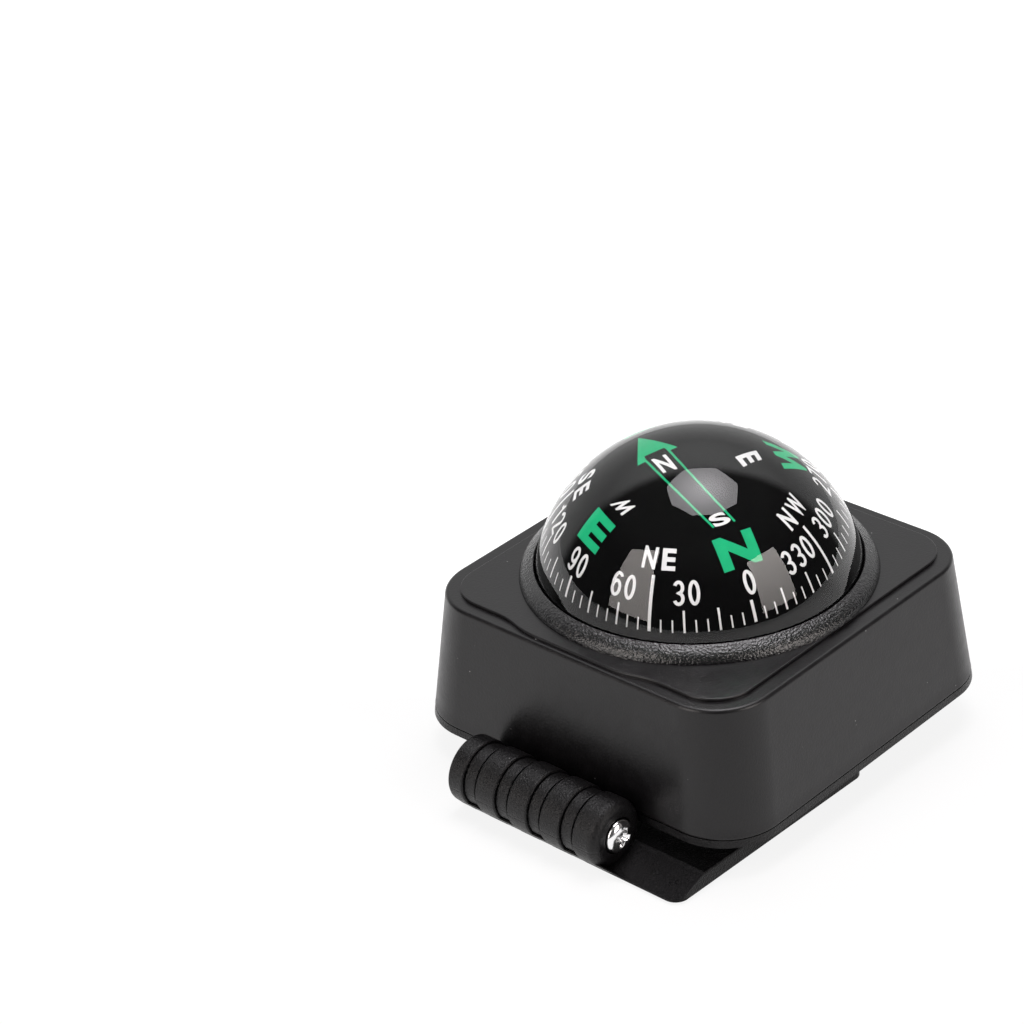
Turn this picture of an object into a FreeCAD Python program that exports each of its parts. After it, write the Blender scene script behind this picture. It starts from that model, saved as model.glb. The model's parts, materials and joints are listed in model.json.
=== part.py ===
import FreeCAD, Part
import math
import os

os.makedirs("parts", exist_ok=True)

# A liquid-filled ball compass for a car dashboard. A square black case holds the clear dome
# capsule, and turns on a knuckle hinge over a flat base bracket that is stuck to the dashboard.
# Millimetres. +Z is up, X runs along the hinge, -Y is the hinge side. The origin is the centre
# of the adhesive pad's underside, on the surface that the compass stands on.

# Case: a tapered square box with rounded corners, closed below by a screwed cover. The dome sets
# its width: the plateau is drawn in from the bezel's foot, the top has a ledge round the plateau,
# and the walls splay out below it.
case_ledge_x = 2.85
case_ledge_y = 2.45
case_splay_x = 2.85
case_splay_y = 2.3
case_height = 23.75
case_corner = 10.8
case_top_corner = 10.3
case_edge_round = 0.6
case_wall = 2.0
case_roof = 2.45

# Raised plateau on the case top, with a shallow tab towards the hinge side.
plateau_tuck_x = 0.2
plateau_spare_y = 0.8
plateau_corner = 7.3
plateau_rise = 0.6
plateau_edge_round = 0.35
tab_reach = 1.45
tab_crest_width = 16.0
tab_foot_width = 35.0

# Bottom cover and the screws that hold it.
cover_rim = 1.3
cover_lip_height = 1.6
cover_lip_width = 1.3
cover_lip_gap = 0.12
cover_screw_inset_x = 6.6
cover_screw_inset_y = 7.2
cover_boss_radius = 3.2
cover_cup_radius = 3.6
cover_cup_height = 1.9
cover_screw_head_radius = 2.5
cover_screw_head_height = 1.5
cover_screw_radius = 1.2
cover_screw_length = 9.0
cover_screw_head_edge = 0.5
head_gap = 0.25
pilot_gap = 0.02

# Clear dome of the capsule: a ball cap with a clamping flange.
dome_radius = 27.8
dome_wall = 1.5
dome_sink = 0.65
dome_flange_width = 2.5
dome_flange_thickness = 1.4

# Bezel ring round the dome.
opening_margin = 1.2
bezel_gap = 0.15
bezel_skirt_gap = 0.05
bezel_foot_width = 0.95
bezel_lip_rise = 2.1
bezel_crest_rise = 0.5
bezel_crest_inset = 0.85
bezel_lift = 0.2

# Lower bowl of the capsule, its seal and its clamping screws.
bowl_wall = 1.4
bowl_flange_thickness = 1.4
bowl_bottom_height = 4.05
bowl_floor = 1.4
bowl_corner = 8.6
bowl_boss_radius = 4.0
bowl_boss_height = 3.0
seal_section = 0.9
seal_inset = 1.9
seal_gap = 0.04
capsule_screw_angle = 35.0
capsule_screw_margin = 2.1
capsule_boss_radius = 1.75
capsule_head_radius = 2.6
capsule_head_height = 1.6
capsule_head_edge = 0.5
capsule_screw_radius = 1.1
capsule_screw_length = 4.6

# Filling plug and expansion diaphragm in the bowl's floor.
plug_offset = 12.0
plug_radius = 2.0
plug_head_radius = 3.2
plug_head_height = 0.9
diaphragm_offset = 11.0
diaphragm_hole_radius = 5.0
diaphragm_radius = 7.0
diaphragm_thickness = 0.6
diaphragm_bulge = 0.9
clamp_ring_thickness = 0.5

# Pivot: a turned stem in the bowl's boss with a hardened pin.
stem_radius = 2.2
stem_gap = 0.02
pin_radius = 0.5
pin_seat_depth = 3.0
pin_length = 7.85
pin_taper = 1.35

# Card: a domed float shell with its spider, jewel and magnets.
card_clearance = 5.0
card_wall = 1.0
card_skirt = 5.5
spider_thickness = 1.5
spider_rim_width = 2.0
spider_gap = 0.08
spider_arm_width = 4.0
spider_hub_radius = 4.2
spider_hub_height = 4.0
jewel_radius = 2.0
jewel_length = 3.0
jewel_gap = 0.02
jewel_mouth_radius = 1.6
jewel_depth = 2.4
jewel_lift = 0.52
jewel_play = 0.07
magnet_width = 2.5
magnet_length = 18.0
magnet_spacing = 12.0

# Base bracket: a flat plate with a sloping front border and five wide hinge knuckles.
plate_width = 46.0
plate_depth = 48.7
plate_thickness = 2.73
plate_corner = 2.4
plate_front_lip = 0.35
plate_slope_run = 6.58
plate_edge_round = 0.4
pad_thickness = 1.0
pad_proud = 0.4
pad_inset = 3.5
pad_front_inset = 9.5
pad_corner = 2.0

# Hinge barrel: its axis runs along X, over the plate's front border and in front of the case.
barrel_radius = 5.8
barrel_front_overhang = 2.58
knuckle_edge_round = 0.35
end_knuckle_width = 3.17
knuckle_width = 4.14
arm_knuckle_width = 2.29
arm_knuckle_radius = 5.35
arm_knuckle_round = 0.25
near_gap = 0.12
far_gap = 0.42
slot_gap = 0.3
cap_round = 1.6
cap_knuckle_width = 4.77
knuckle_count = 4
arm_top = 1.15
arm_drop = 1.2
arm_reach = 5.6
arm_root = 1.6

# Hinge screw and nut.
hinge_screw_radius = 1.5
hinge_bore_gap = 0.05
hinge_head_radius = 2.8
hinge_head_height = 1.9
hinge_head_edge = 0.9
hinge_sink_radius = 3.15
hinge_sink_depth = 1.0
hinge_recess_width = 0.85
hinge_recess_span = 3.4
hinge_recess_depth = 1.1
nut_across_flats = 5.5
nut_thickness = 1.8
nut_gap = 0.05
nut_cover = 0.1

# Where the case sits on the hinge, and how far it is tilted back at rest.
case_shift = -7.8
case_lift = -0.8
case_gap = 0.2
body_lean = 1.8

# How far every cutting tool runs past the faces that it cuts.
overrun = 1.0

# The part of a corner arc's radius that its middle point keeps, and the tolerance for finding edges.
middle_share = math.sqrt(0.5)
edge_search = 0.01

# Places that follow from the sizes above.
plate_bottom = pad_proud
plate_top = plate_bottom + plate_thickness
pad_width = plate_width - 2 * pad_inset
pad_depth = plate_depth - pad_inset - pad_front_inset
plate_center_y = (pad_inset - pad_front_inset) / 2
plate_front = plate_center_y - plate_depth / 2
plate_back = plate_center_y + plate_depth / 2
hinge_y = plate_front + barrel_front_overhang
hinge_z = plate_bottom + barrel_radius
barrel_left = -plate_width / 2
knuckle_pitch = knuckle_width + near_gap + arm_knuckle_width + far_gap
barrel_right = (
    barrel_left + end_knuckle_width + (knuckle_count - 1) * knuckle_pitch
    + near_gap + arm_knuckle_width + far_gap + cap_knuckle_width
)
roof_underside = case_height - case_roof
plateau_top = case_height + plateau_rise
dome_center_height = roof_underside - dome_sink
dome_flange_radius = dome_radius + dome_flange_width
dome_flange_top = roof_underside
dome_flange_bottom = dome_flange_top - dome_flange_thickness
bowl_flange_bottom = dome_flange_bottom - bowl_flange_thickness
bowl_inner_radius = math.sqrt((dome_radius - dome_wall) ** 2 - (dome_center_height - dome_flange_bottom) ** 2)
bowl_floor_top = bowl_bottom_height + bowl_floor
opening_radius = dome_radius + opening_margin
bezel_foot_radius = opening_radius + bezel_foot_width
capsule_screw_circle = dome_flange_radius + capsule_screw_margin
plateau_width = 2 * (bezel_foot_radius - plateau_tuck_x)
plateau_depth = 2 * (bezel_foot_radius + plateau_spare_y)
case_top_width = plateau_width + 2 * case_ledge_x
case_top_depth = plateau_depth + 2 * case_ledge_y
case_width = case_top_width + 2 * case_splay_x
case_depth = case_top_depth + 2 * case_splay_y
case_reach = case_depth / 2 + barrel_radius + case_gap
screw_spread_x = case_top_width - 2 * cover_screw_inset_x
screw_spread_y = case_top_depth - 2 * cover_screw_inset_y
card_radius = dome_radius - dome_wall - card_clearance
spider_bottom = dome_center_height - card_skirt
jewel_bottom = spider_bottom + jewel_lift
jewel_top = jewel_bottom + jewel_length
pin_tip = jewel_bottom + jewel_depth - jewel_play
pin_bottom = pin_tip - pin_length
stem_bottom = bowl_floor_top
stem_top = pin_bottom + pin_seat_depth


def rounded_rectangle(width, depth, radius, height, center_y=0.0):
    """A closed outline of four straight sides and four corner arcs, level at the given height."""
    half_x = width / 2
    half_y = depth / 2
    corners = [(1, 1), (-1, 1), (-1, -1), (1, -1)]
    edges = []
    last = None
    first = None
    for number, (side_x, side_y) in enumerate(corners):
        cx = side_x * (half_x - radius)
        cy = side_y * (half_y - radius) + center_y
        angles = [math.radians(90 * number + turn) for turn in (0, 45, 90)]
        points = [
            FreeCAD.Vector(cx + radius * math.cos(a), cy + radius * math.sin(a), height)
            for a in angles
        ]
        if last is not None:
            edges.append(Part.LineSegment(last, points[0]).toShape())
        else:
            first = points[0]
        edges.append(Part.Arc(points[0], points[1], points[2]).toShape())
        last = points[2]
    edges.append(Part.LineSegment(last, first).toShape())
    return Part.Wire(edges)


def prism(wire, height):
    """The solid that a level closed outline sweeps straight up."""
    return Part.Face(wire).extrude(FreeCAD.Vector(0, 0, height))


def edges_at(shape, height):
    """The edges of a shape that lie level at a height."""
    return [edge for edge in shape.Edges if abs(edge.BoundBox.ZMin - height) < edge_search]


def post(radius, bottom, top, x=0.0, y=0.0):
    """An upright cylinder between two heights."""
    return Part.makeCylinder(radius, top - bottom, FreeCAD.Vector(x, y, bottom))


def rod(radius, start, end):
    """A cylinder along the hinge axis between two places on X."""
    place = FreeCAD.Vector(start, hinge_y, hinge_z)
    return Part.makeCylinder(radius, end - start, place, FreeCAD.Vector(1, 0, 0))


def spin_profile(edges):
    """The solid that a closed profile in the XZ plane sweeps round the Z axis."""
    face = Part.Face(Part.Wire(edges))
    solid = face.revolve(FreeCAD.Vector(0, 0, 0), FreeCAD.Vector(0, 0, 1), 360)
    if solid.Volume < 0:
        solid.reverse()
    return solid


def line(a, b):
    """A straight profile edge between two (radius, height) points."""
    start = FreeCAD.Vector(a[0], 0, a[1])
    return Part.LineSegment(start, FreeCAD.Vector(b[0], 0, b[1])).toShape()


def arc(a, through, b):
    """A profile arc through three (radius, height) points."""
    points = [FreeCAD.Vector(p[0], 0, p[1]) for p in (a, through, b)]
    return Part.Arc(points[0], points[1], points[2]).toShape()


def ball_point(radius, height):
    """The (radius, height) point at a height on a ball about the dome's centre."""
    return (math.sqrt(max(0, radius ** 2 - (height - dome_center_height) ** 2)), height)


def ball_arc(radius, low, high):
    """A meridian arc of such a ball between two heights."""
    start = ball_point(radius, low)
    end = ball_point(radius, high)
    low_turn = math.atan2(low - dome_center_height, start[0])
    high_turn = math.atan2(high - dome_center_height, end[0])
    middle = (low_turn + high_turn) / 2
    through = (radius * math.cos(middle), dome_center_height + radius * math.sin(middle))
    return arc(start, through, end)


def cap_arc(rim_radius, rim_height, crown_height):
    """A meridian arc of a shallow round cap, from its rim to its crown on the axis."""
    rise = crown_height - rim_height
    radius = (rim_radius ** 2 + rise ** 2) / (2 * rise)
    half_turn = math.asin(rim_radius / radius) / 2
    center = crown_height - radius
    through = (radius * math.sin(half_turn), center + radius * math.cos(half_turn))
    return arc((rim_radius, rim_height), through, (0, crown_height))


def corner_arc(a, corner, b):
    """A quarter arc that rounds the corner between two points at right angles."""
    center = (a[0] + b[0] - corner[0], a[1] + b[1] - corner[1])
    through = tuple(c + (k - c) * middle_share for c, k in zip(center, corner))
    return arc(a, through, b)


def case_size(height, inset=0.0):
    """Width, depth and corner radius of the tapered case at a height, drawn in by an inset."""
    share = height / case_height
    width = case_width + (case_top_width - case_width) * share - 2 * inset
    depth = case_depth + (case_top_depth - case_depth) * share - 2 * inset
    corner = case_corner + (case_top_corner - case_corner) * share - inset
    return width, depth, corner


def case_block(bottom, top, inset=0.0):
    """A block that follows the case's taper between two heights."""
    low = rounded_rectangle(*case_size(bottom, inset), bottom)
    high = rounded_rectangle(*case_size(top, inset), top)
    return Part.makeLoft([low, high], True, True)


def place_case(shape):
    """Carries a piece from the case's own frame to the hinge and tilts it back."""
    moved = shape.copy()
    moved.translate(FreeCAD.Vector(case_shift, hinge_y + case_reach, hinge_z + case_lift))
    moved.rotate(FreeCAD.Vector(0, hinge_y, hinge_z), FreeCAD.Vector(1, 0, 0), body_lean)
    return moved


def cover_screw_places():
    """The four screw places near the case's corners."""
    return [
        (side_x * screw_spread_x / 2, side_y * screw_spread_y / 2)
        for side_x in (-1, 1) for side_y in (-1, 1)
    ]


def capsule_screw_places():
    """The four screw places round the capsule's flange."""
    places = []
    for angle in (capsule_screw_angle, 180 - capsule_screw_angle):
        for side in (-1, 1):
            turn = math.radians(angle * side)
            places.append((capsule_screw_circle * math.cos(turn), capsule_screw_circle * math.sin(turn)))
    return places


def s_curve(a, b):
    """Two equal arcs from a to b that leave and arrive level along X."""
    run = b[0] - a[0]
    rise = b[1] - a[1]
    radius = (run ** 2 + rise ** 2) / (4 * abs(rise))
    half_turn = math.asin(abs(run) / (2 * radius)) / 2
    bow = radius * (1 - math.cos(half_turn))
    lead = radius * math.sin(half_turn)
    middle = ((a[0] + b[0]) / 2, (a[1] + b[1]) / 2)
    through = (a[0] + math.copysign(lead, run), a[1] + math.copysign(bow, rise))
    mirror = (a[0] + b[0] - through[0], a[1] + b[1] - through[1])
    points = [FreeCAD.Vector(p[0], p[1], case_height) for p in (a, through, middle, mirror, b)]
    return [
        Part.Arc(points[0], points[1], points[2]).toShape(),
        Part.Arc(points[2], points[3], points[4]).toShape(),
    ]


def plateau():
    """The raised square on the case top, with its tab towards the hinge."""
    square = prism(rounded_rectangle(plateau_width, plateau_depth, plateau_corner, case_height), plateau_rise)
    side = -plateau_depth / 2
    crest = side - tab_reach
    foot = tab_foot_width / 2
    flat = tab_crest_width / 2
    edges = s_curve((-foot, side), (-flat, crest))
    edges.append(Part.LineSegment(FreeCAD.Vector(-flat, crest, case_height),
                                  FreeCAD.Vector(flat, crest, case_height)).toShape())
    edges += s_curve((flat, crest), (foot, side))
    edges.append(Part.LineSegment(FreeCAD.Vector(foot, side, case_height),
                                  FreeCAD.Vector(-foot, side, case_height)).toShape())
    tab = prism(Part.Wire(edges), plateau_rise)
    raised = square.fuse(tab).removeSplitter()
    return raised.makeFillet(plateau_edge_round, edges_at(raised, plateau_top))


def housing():
    """The case shell: tapered walls, roof with the dome's opening, and screw bosses inside."""
    shell = case_block(cover_rim, case_height)
    shell = shell.makeFillet(case_edge_round, edges_at(shell, case_height))
    outer = shell.copy()
    shell = shell.cut(case_block(cover_rim - overrun, roof_underside, case_wall))
    for x, y in cover_screw_places():
        boss = post(cover_boss_radius, cover_rim + cover_cup_height, roof_underside, x, y)
        shell = shell.fuse(boss)
    for x, y in capsule_screw_places():
        shell = shell.fuse(post(capsule_boss_radius, bowl_flange_bottom, roof_underside, x, y))
    shell = shell.common(outer).fuse(plateau())
    shell = shell.cut(post(opening_radius, roof_underside - overrun, plateau_top + overrun))
    for x, y in cover_screw_places():
        bottom = cover_rim + cover_cup_height
        shell = shell.cut(post(cover_screw_radius + pilot_gap, bottom - overrun, bottom + cover_screw_length, x, y))
    for x, y in capsule_screw_places():
        top = bowl_flange_bottom + capsule_screw_length
        shell = shell.cut(post(capsule_screw_radius + pilot_gap, bowl_flange_bottom - overrun, top, x, y))
    return shell.removeSplitter()


def knuckle(left, width, radius, left_round, right_round, center_y, center_z):
    """A cylinder about a hinge axis, with both rims rounded."""
    right = width - right_round
    edges = [
        line((0, 0), (radius - left_round, 0)),
        corner_arc((radius - left_round, 0), (radius, 0), (radius, left_round)),
        line((radius, left_round), (radius, right)),
        corner_arc((radius, right), (radius, width), (radius - right_round, width)),
        line((radius - right_round, width), (0, width)),
        line((0, width), (0, 0)),
    ]
    disc = spin_profile(edges)
    disc.rotate(FreeCAD.Vector(0, 0, 0), FreeCAD.Vector(0, 1, 0), 90)
    disc.translate(FreeCAD.Vector(left, center_y, center_z))
    return disc


def hinge_arm(left):
    """One narrow hinge knuckle with the arm that joins it to the cover's front edge."""
    disc = knuckle(left, arm_knuckle_width, arm_knuckle_radius, arm_knuckle_round, arm_knuckle_round,
                   -case_reach, -case_lift)
    wall = -case_depth / 2
    back = wall + arm_reach
    profile = [
        (-case_reach, arm_top),
        (wall + arm_root, arm_top),
        (wall + arm_root, 0),
        (back, 0),
        (back - arm_root, -arm_drop),
        (-case_reach, -arm_drop),
        (-case_reach, arm_top),
    ]
    wire = Part.makePolygon([FreeCAD.Vector(left, y, z) for y, z in profile])
    return disc.fuse(Part.Face(wire).extrude(FreeCAD.Vector(arm_knuckle_width, 0, 0)))


def arm_places():
    """The left faces of the four narrow knuckles, along X."""
    first = barrel_left + end_knuckle_width + near_gap
    return [first + number * knuckle_pitch for number in range(knuckle_count)]


def bottom_cover():
    """The case's lower cover: tapered rim, locating lip, screw cups and the four hinge arms."""
    cover = case_block(0.0, cover_rim)
    lip_inset = case_wall + cover_lip_gap
    lip_top = cover_rim + cover_lip_height
    lip = case_block(cover_rim, lip_top, lip_inset)
    lip = lip.cut(case_block(cover_rim - overrun, lip_top + overrun, lip_inset + cover_lip_width))
    cover = cover.fuse(lip)
    for x, y in cover_screw_places():
        cover = cover.fuse(post(cover_cup_radius, cover_rim, cover_rim + cover_cup_height, x, y))
    for left in arm_places():
        cover = cover.fuse(hinge_arm(left - case_shift))
    for x, y in cover_screw_places():
        seat = cover_screw_head_height + head_gap
        cover = cover.cut(post(cover_screw_head_radius + head_gap, -overrun, seat, x, y))
        cover = cover.cut(post(cover_screw_radius + head_gap, -overrun, cover_rim + cover_cup_height + overrun, x, y))
    bore_start = FreeCAD.Vector(barrel_left - case_shift - overrun, -case_reach, -case_lift)
    bore_length = barrel_right - barrel_left + 2 * overrun
    bore = Part.makeCylinder(hinge_screw_radius + hinge_bore_gap, bore_length, bore_start, FreeCAD.Vector(1, 0, 0))
    return cover.cut(bore).removeSplitter()


def pan_screw(head_radius, head_height, head_edge, radius, length):
    """A pan-head screw that points up from its seat at the origin, with a domed head below."""
    edges = [
        line((0, length), (radius, length)),
        line((radius, length), (radius, 0)),
        line((radius, 0), (head_radius, 0)),
        line((head_radius, 0), (head_radius, -head_edge)),
        cap_arc(head_radius, -head_edge, -head_height),
        line((0, -head_height), (0, length)),
    ]
    return spin_profile(edges)


def copies_at(shape, places, height):
    """Copies of a shape at several places, all at one height."""
    copies = []
    for x, y in places:
        copy = shape.copy()
        copy.translate(FreeCAD.Vector(x, y, height))
        copies.append(copy)
    return Part.makeCompound(copies)


def cover_screws():
    """Four screws up through the cover into the case's corner bosses."""
    screw = pan_screw(cover_screw_head_radius, cover_screw_head_height, cover_screw_head_edge,
                      cover_screw_radius, cover_screw_length)
    return copies_at(screw, cover_screw_places(), cover_screw_head_height + head_gap)


def bezel_ring():
    """The rounded trim ring round the dome, with a skirt down into the case's opening."""
    bore = dome_radius + bezel_gap
    skirt = opening_radius - bezel_skirt_gap
    bottom = roof_underside + bezel_lift
    lip = ball_point(bore, plateau_top + bezel_lip_rise)
    crest = (lip[0] + bezel_crest_inset, lip[1] + bezel_crest_rise)
    foot = (bezel_foot_radius, plateau_top)
    edges = [
        ball_arc(bore, bottom, lip[1]),
        corner_arc(lip, (lip[0], crest[1]), crest),
        corner_arc(crest, (foot[0], crest[1]), foot),
        line(foot, (skirt, plateau_top)),
        line((skirt, plateau_top), (skirt, bottom)),
        line((skirt, bottom), ball_point(bore, bottom)),
    ]
    return spin_profile(edges)


def ball_cap(radius, bottom):
    """A solid ball about the dome's centre, kept above a height."""
    ball = Part.makeSphere(radius, FreeCAD.Vector(0, 0, dome_center_height))
    return ball.cut(post(radius + overrun, dome_center_height - radius - overrun, bottom))


def dome():
    """The clear cap: a ball shell that opens into its clamping flange."""
    flange = post(dome_flange_radius, dome_flange_bottom, dome_flange_top)
    cap = ball_cap(dome_radius, dome_flange_bottom).fuse(flange)
    return cap.cut(ball_cap(dome_radius - dome_wall, dome_flange_bottom - overrun))


def capsule_bowl():
    """The capsule's lower half: flange with the seal's groove, round bowl, floor holes and boss."""
    inner = bowl_inner_radius
    outer = inner + bowl_wall
    low = bowl_bottom_height
    floor = bowl_floor_top
    turn_height = low + bowl_corner
    outer_flat = outer - bowl_corner
    edges = [
        line((0, low), (outer_flat, low)),
        corner_arc((outer_flat, low), (outer, low), (outer, turn_height)),
        line((outer, turn_height), (outer, bowl_flange_bottom)),
        line((outer, bowl_flange_bottom), (dome_flange_radius, bowl_flange_bottom)),
        line((dome_flange_radius, bowl_flange_bottom), (dome_flange_radius, dome_flange_bottom)),
        line((dome_flange_radius, dome_flange_bottom), (inner, dome_flange_bottom)),
        line((inner, dome_flange_bottom), (inner, turn_height)),
        corner_arc((inner, turn_height), (inner, floor), (outer_flat, floor)),
        line((outer_flat, floor), (0, floor)),
        line((0, floor), (0, low)),
    ]
    bowl = spin_profile(edges)
    bowl = bowl.fuse(post(bowl_boss_radius, floor, floor + bowl_boss_height))
    bowl = bowl.cut(post(stem_radius + stem_gap, floor, floor + bowl_boss_height + overrun))
    bowl = bowl.cut(post(plug_radius, low - overrun, floor + overrun, plug_offset))
    bowl = bowl.cut(post(diaphragm_hole_radius, low - overrun, floor + overrun, -diaphragm_offset))
    groove_outer = dome_flange_radius - seal_inset + seal_section / 2 + seal_gap
    groove_inner = groove_outer - seal_section - 2 * seal_gap
    groove_bottom = dome_flange_bottom - seal_section - seal_gap
    groove = post(groove_outer, groove_bottom, dome_flange_bottom + overrun)
    groove = groove.cut(post(groove_inner, groove_bottom - overrun, dome_flange_bottom + 2 * overrun))
    return bowl.cut(groove)


def capsule_seal():
    """The rubber ring in the groove between dome and bowl."""
    center = FreeCAD.Vector(0, 0, dome_flange_bottom - seal_gap / 2 - seal_section / 2)
    return Part.makeTorus(dome_flange_radius - seal_inset, seal_section / 2, center)


def capsule_screws():
    """Four screws whose heads clamp the capsule's flange up against the roof."""
    screw = pan_screw(capsule_head_radius, capsule_head_height, capsule_head_edge,
                      capsule_screw_radius, capsule_screw_length)
    return copies_at(screw, capsule_screw_places(), bowl_flange_bottom)


def fill_plug():
    """The rubber plug that closes the filling hole from below."""
    head_bottom = bowl_bottom_height - plug_head_height
    plug = post(plug_radius, bowl_bottom_height, bowl_floor_top, plug_offset)
    return plug.fuse(post(plug_head_radius, head_bottom, bowl_bottom_height, plug_offset))


def expansion_diaphragm():
    """The rubber sheet under the bowl's second hole, pushed up into a shallow dish."""
    top = bowl_bottom_height
    bottom = top - diaphragm_thickness
    rim = diaphragm_hole_radius - diaphragm_bulge
    edges = [
        line((diaphragm_radius, bottom), (diaphragm_radius, top)),
        line((diaphragm_radius, top), (rim, top)),
        cap_arc(rim, top, top + diaphragm_bulge),
        line((0, top + diaphragm_bulge), (0, bottom + diaphragm_bulge)),
        cap_arc(rim, bottom, bottom + diaphragm_bulge),
        line((rim, bottom), (diaphragm_radius, bottom)),
    ]
    sheet = spin_profile(Part.__sortEdges__(edges))
    sheet.translate(FreeCAD.Vector(-diaphragm_offset, 0, 0))
    return sheet


def diaphragm_ring():
    """The flat ring that holds the diaphragm's edge against the bowl."""
    top = bowl_bottom_height - diaphragm_thickness
    ring = post(diaphragm_radius, top - clamp_ring_thickness, top, -diaphragm_offset)
    hole = post(diaphragm_hole_radius, top - clamp_ring_thickness - overrun, top + overrun, -diaphragm_offset)
    return ring.cut(hole)


def pivot_stem():
    """The turned stem that stands in the bowl's boss."""
    stem = post(stem_radius, stem_bottom, stem_top)
    return stem.cut(post(pin_radius + stem_gap, pin_bottom, stem_top + overrun))


def pivot_pin():
    """The hardened pin with a fine point, which carries the card."""
    edges = [
        line((0, pin_bottom), (pin_radius, pin_bottom)),
        line((pin_radius, pin_bottom), (pin_radius, pin_tip - pin_taper)),
        line((pin_radius, pin_tip - pin_taper), (0, pin_tip)),
        line((0, pin_tip), (0, pin_bottom)),
    ]
    return spin_profile(edges)


def card_float():
    """The domed card: a thin ball shell that ends a little below its widest place."""
    return ball_cap(card_radius, spider_bottom).cut(ball_cap(card_radius - card_wall, spider_bottom - overrun))


def card_spider():
    """The wheel inside the card: rim, four arms and the hub that holds the jewel."""
    rim_radius = ball_point(card_radius - card_wall, spider_bottom)[0] - spider_gap
    top = spider_bottom + spider_thickness
    wheel = post(rim_radius, spider_bottom, top)
    wheel = wheel.cut(post(rim_radius - spider_rim_width, spider_bottom - overrun, top + overrun))
    reach = 2 * (rim_radius - spider_rim_width / 2)
    for length, width in ((reach, spider_arm_width), (spider_arm_width, reach)):
        corner = FreeCAD.Vector(-length / 2, -width / 2, spider_bottom)
        wheel = wheel.fuse(Part.makeBox(length, width, spider_thickness, corner))
    wheel = wheel.fuse(post(spider_hub_radius, spider_bottom, spider_bottom + spider_hub_height))
    wheel = wheel.cut(post(jewel_radius + jewel_gap, spider_bottom - overrun, jewel_top))
    return wheel.removeSplitter()


def jewel_cup():
    """The bearing stone with a conical seat for the pin's point."""
    cup = post(jewel_radius, jewel_bottom, jewel_top)
    seat = Part.makeCone(jewel_mouth_radius, 0, jewel_depth, FreeCAD.Vector(0, 0, jewel_bottom))
    return cup.cut(seat)


def card_magnets():
    """Two bar magnets side by side under the spider's arms."""
    bars = []
    for side in (-1, 1):
        corner = FreeCAD.Vector(
            side * magnet_spacing / 2 - magnet_width / 2, -magnet_length / 2, spider_bottom - magnet_width
        )
        bars.append(Part.makeBox(magnet_width, magnet_length, magnet_width, corner))
    return Part.makeCompound(bars)


def wide_knuckle(left, width, right_round):
    """A base knuckle on the hinge axis, with rounded rims."""
    return knuckle(left, width, barrel_radius, knuckle_edge_round, right_round, hinge_y, hinge_z)


def knuckle_notch(left):
    """The cut through the plate's front border that a narrow knuckle turns in."""
    reach = arm_knuckle_radius + slot_gap
    start = left - near_gap
    end = left + arm_knuckle_width + far_gap
    depth = math.sqrt(reach ** 2 - (hinge_z - plate_top) ** 2)
    corner = FreeCAD.Vector(start, plate_front - overrun, plate_bottom - overrun)
    notch = Part.makeBox(end - start, hinge_y + depth - plate_front + overrun, plate_thickness + 2 * overrun, corner)
    return notch.fuse(rod(reach, start, end))


def base_bracket():
    """The plate with its sloping front border, the wide knuckles, and the pad's recess below."""
    ridge = plate_front + plate_slope_run
    points = [
        (plate_front, plate_bottom),
        (plate_front, plate_bottom + plate_front_lip),
        (ridge, plate_top),
        (plate_back, plate_top),
        (plate_back, plate_bottom),
        (plate_front, plate_bottom),
    ]
    wire = Part.makePolygon([FreeCAD.Vector(-plate_width / 2, y, z) for y, z in points])
    plate = Part.Face(wire).extrude(FreeCAD.Vector(plate_width, 0, 0))
    outline = rounded_rectangle(plate_width, plate_depth, plate_corner, plate_bottom, plate_center_y)
    plate = plate.common(prism(outline, plate_thickness))
    plate = plate.makeFillet(plate_edge_round, edges_at(plate, plate_top))
    for left in arm_places():
        plate = plate.cut(knuckle_notch(left))
    bracket = plate.fuse(wide_knuckle(barrel_left, end_knuckle_width, knuckle_edge_round))
    for left in arm_places()[:-1]:
        start = left + arm_knuckle_width + far_gap
        bracket = bracket.fuse(wide_knuckle(start, knuckle_width, knuckle_edge_round))
    start = barrel_right - cap_knuckle_width
    bracket = bracket.fuse(wide_knuckle(start, cap_knuckle_width, cap_round))
    bracket = bracket.cut(rod(hinge_screw_radius + hinge_bore_gap, barrel_left - overrun, barrel_right + overrun))
    bracket = bracket.cut(rod(hinge_sink_radius, barrel_right - hinge_sink_depth, barrel_right + overrun))
    pocket_end = barrel_left + nut_cover + nut_thickness
    bracket = bracket.cut(hex_prism(nut_across_flats / 2 + nut_gap, barrel_left - overrun, pocket_end))
    recess = rounded_rectangle(pad_width, pad_depth, pad_corner, plate_bottom - overrun)
    bracket = bracket.cut(prism(recess, overrun + pad_thickness - pad_proud))
    return bracket.removeSplitter()


def hex_prism(flat_radius, start, end):
    """A hexagonal bar along the hinge axis between two places on X."""
    corner_radius = flat_radius / math.cos(math.pi / 6)
    points = []
    for number in range(7):
        turn = math.radians(60 * number)
        points.append(FreeCAD.Vector(
            start, hinge_y + corner_radius * math.cos(turn), hinge_z + corner_radius * math.sin(turn)
        ))
    return Part.Face(Part.makePolygon(points)).extrude(FreeCAD.Vector(end - start, 0, 0))


def adhesive_pad():
    """The foam pad in the plate's recess, which sticks the bracket down."""
    return prism(rounded_rectangle(pad_width, pad_depth, pad_corner, 0), pad_thickness)


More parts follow.
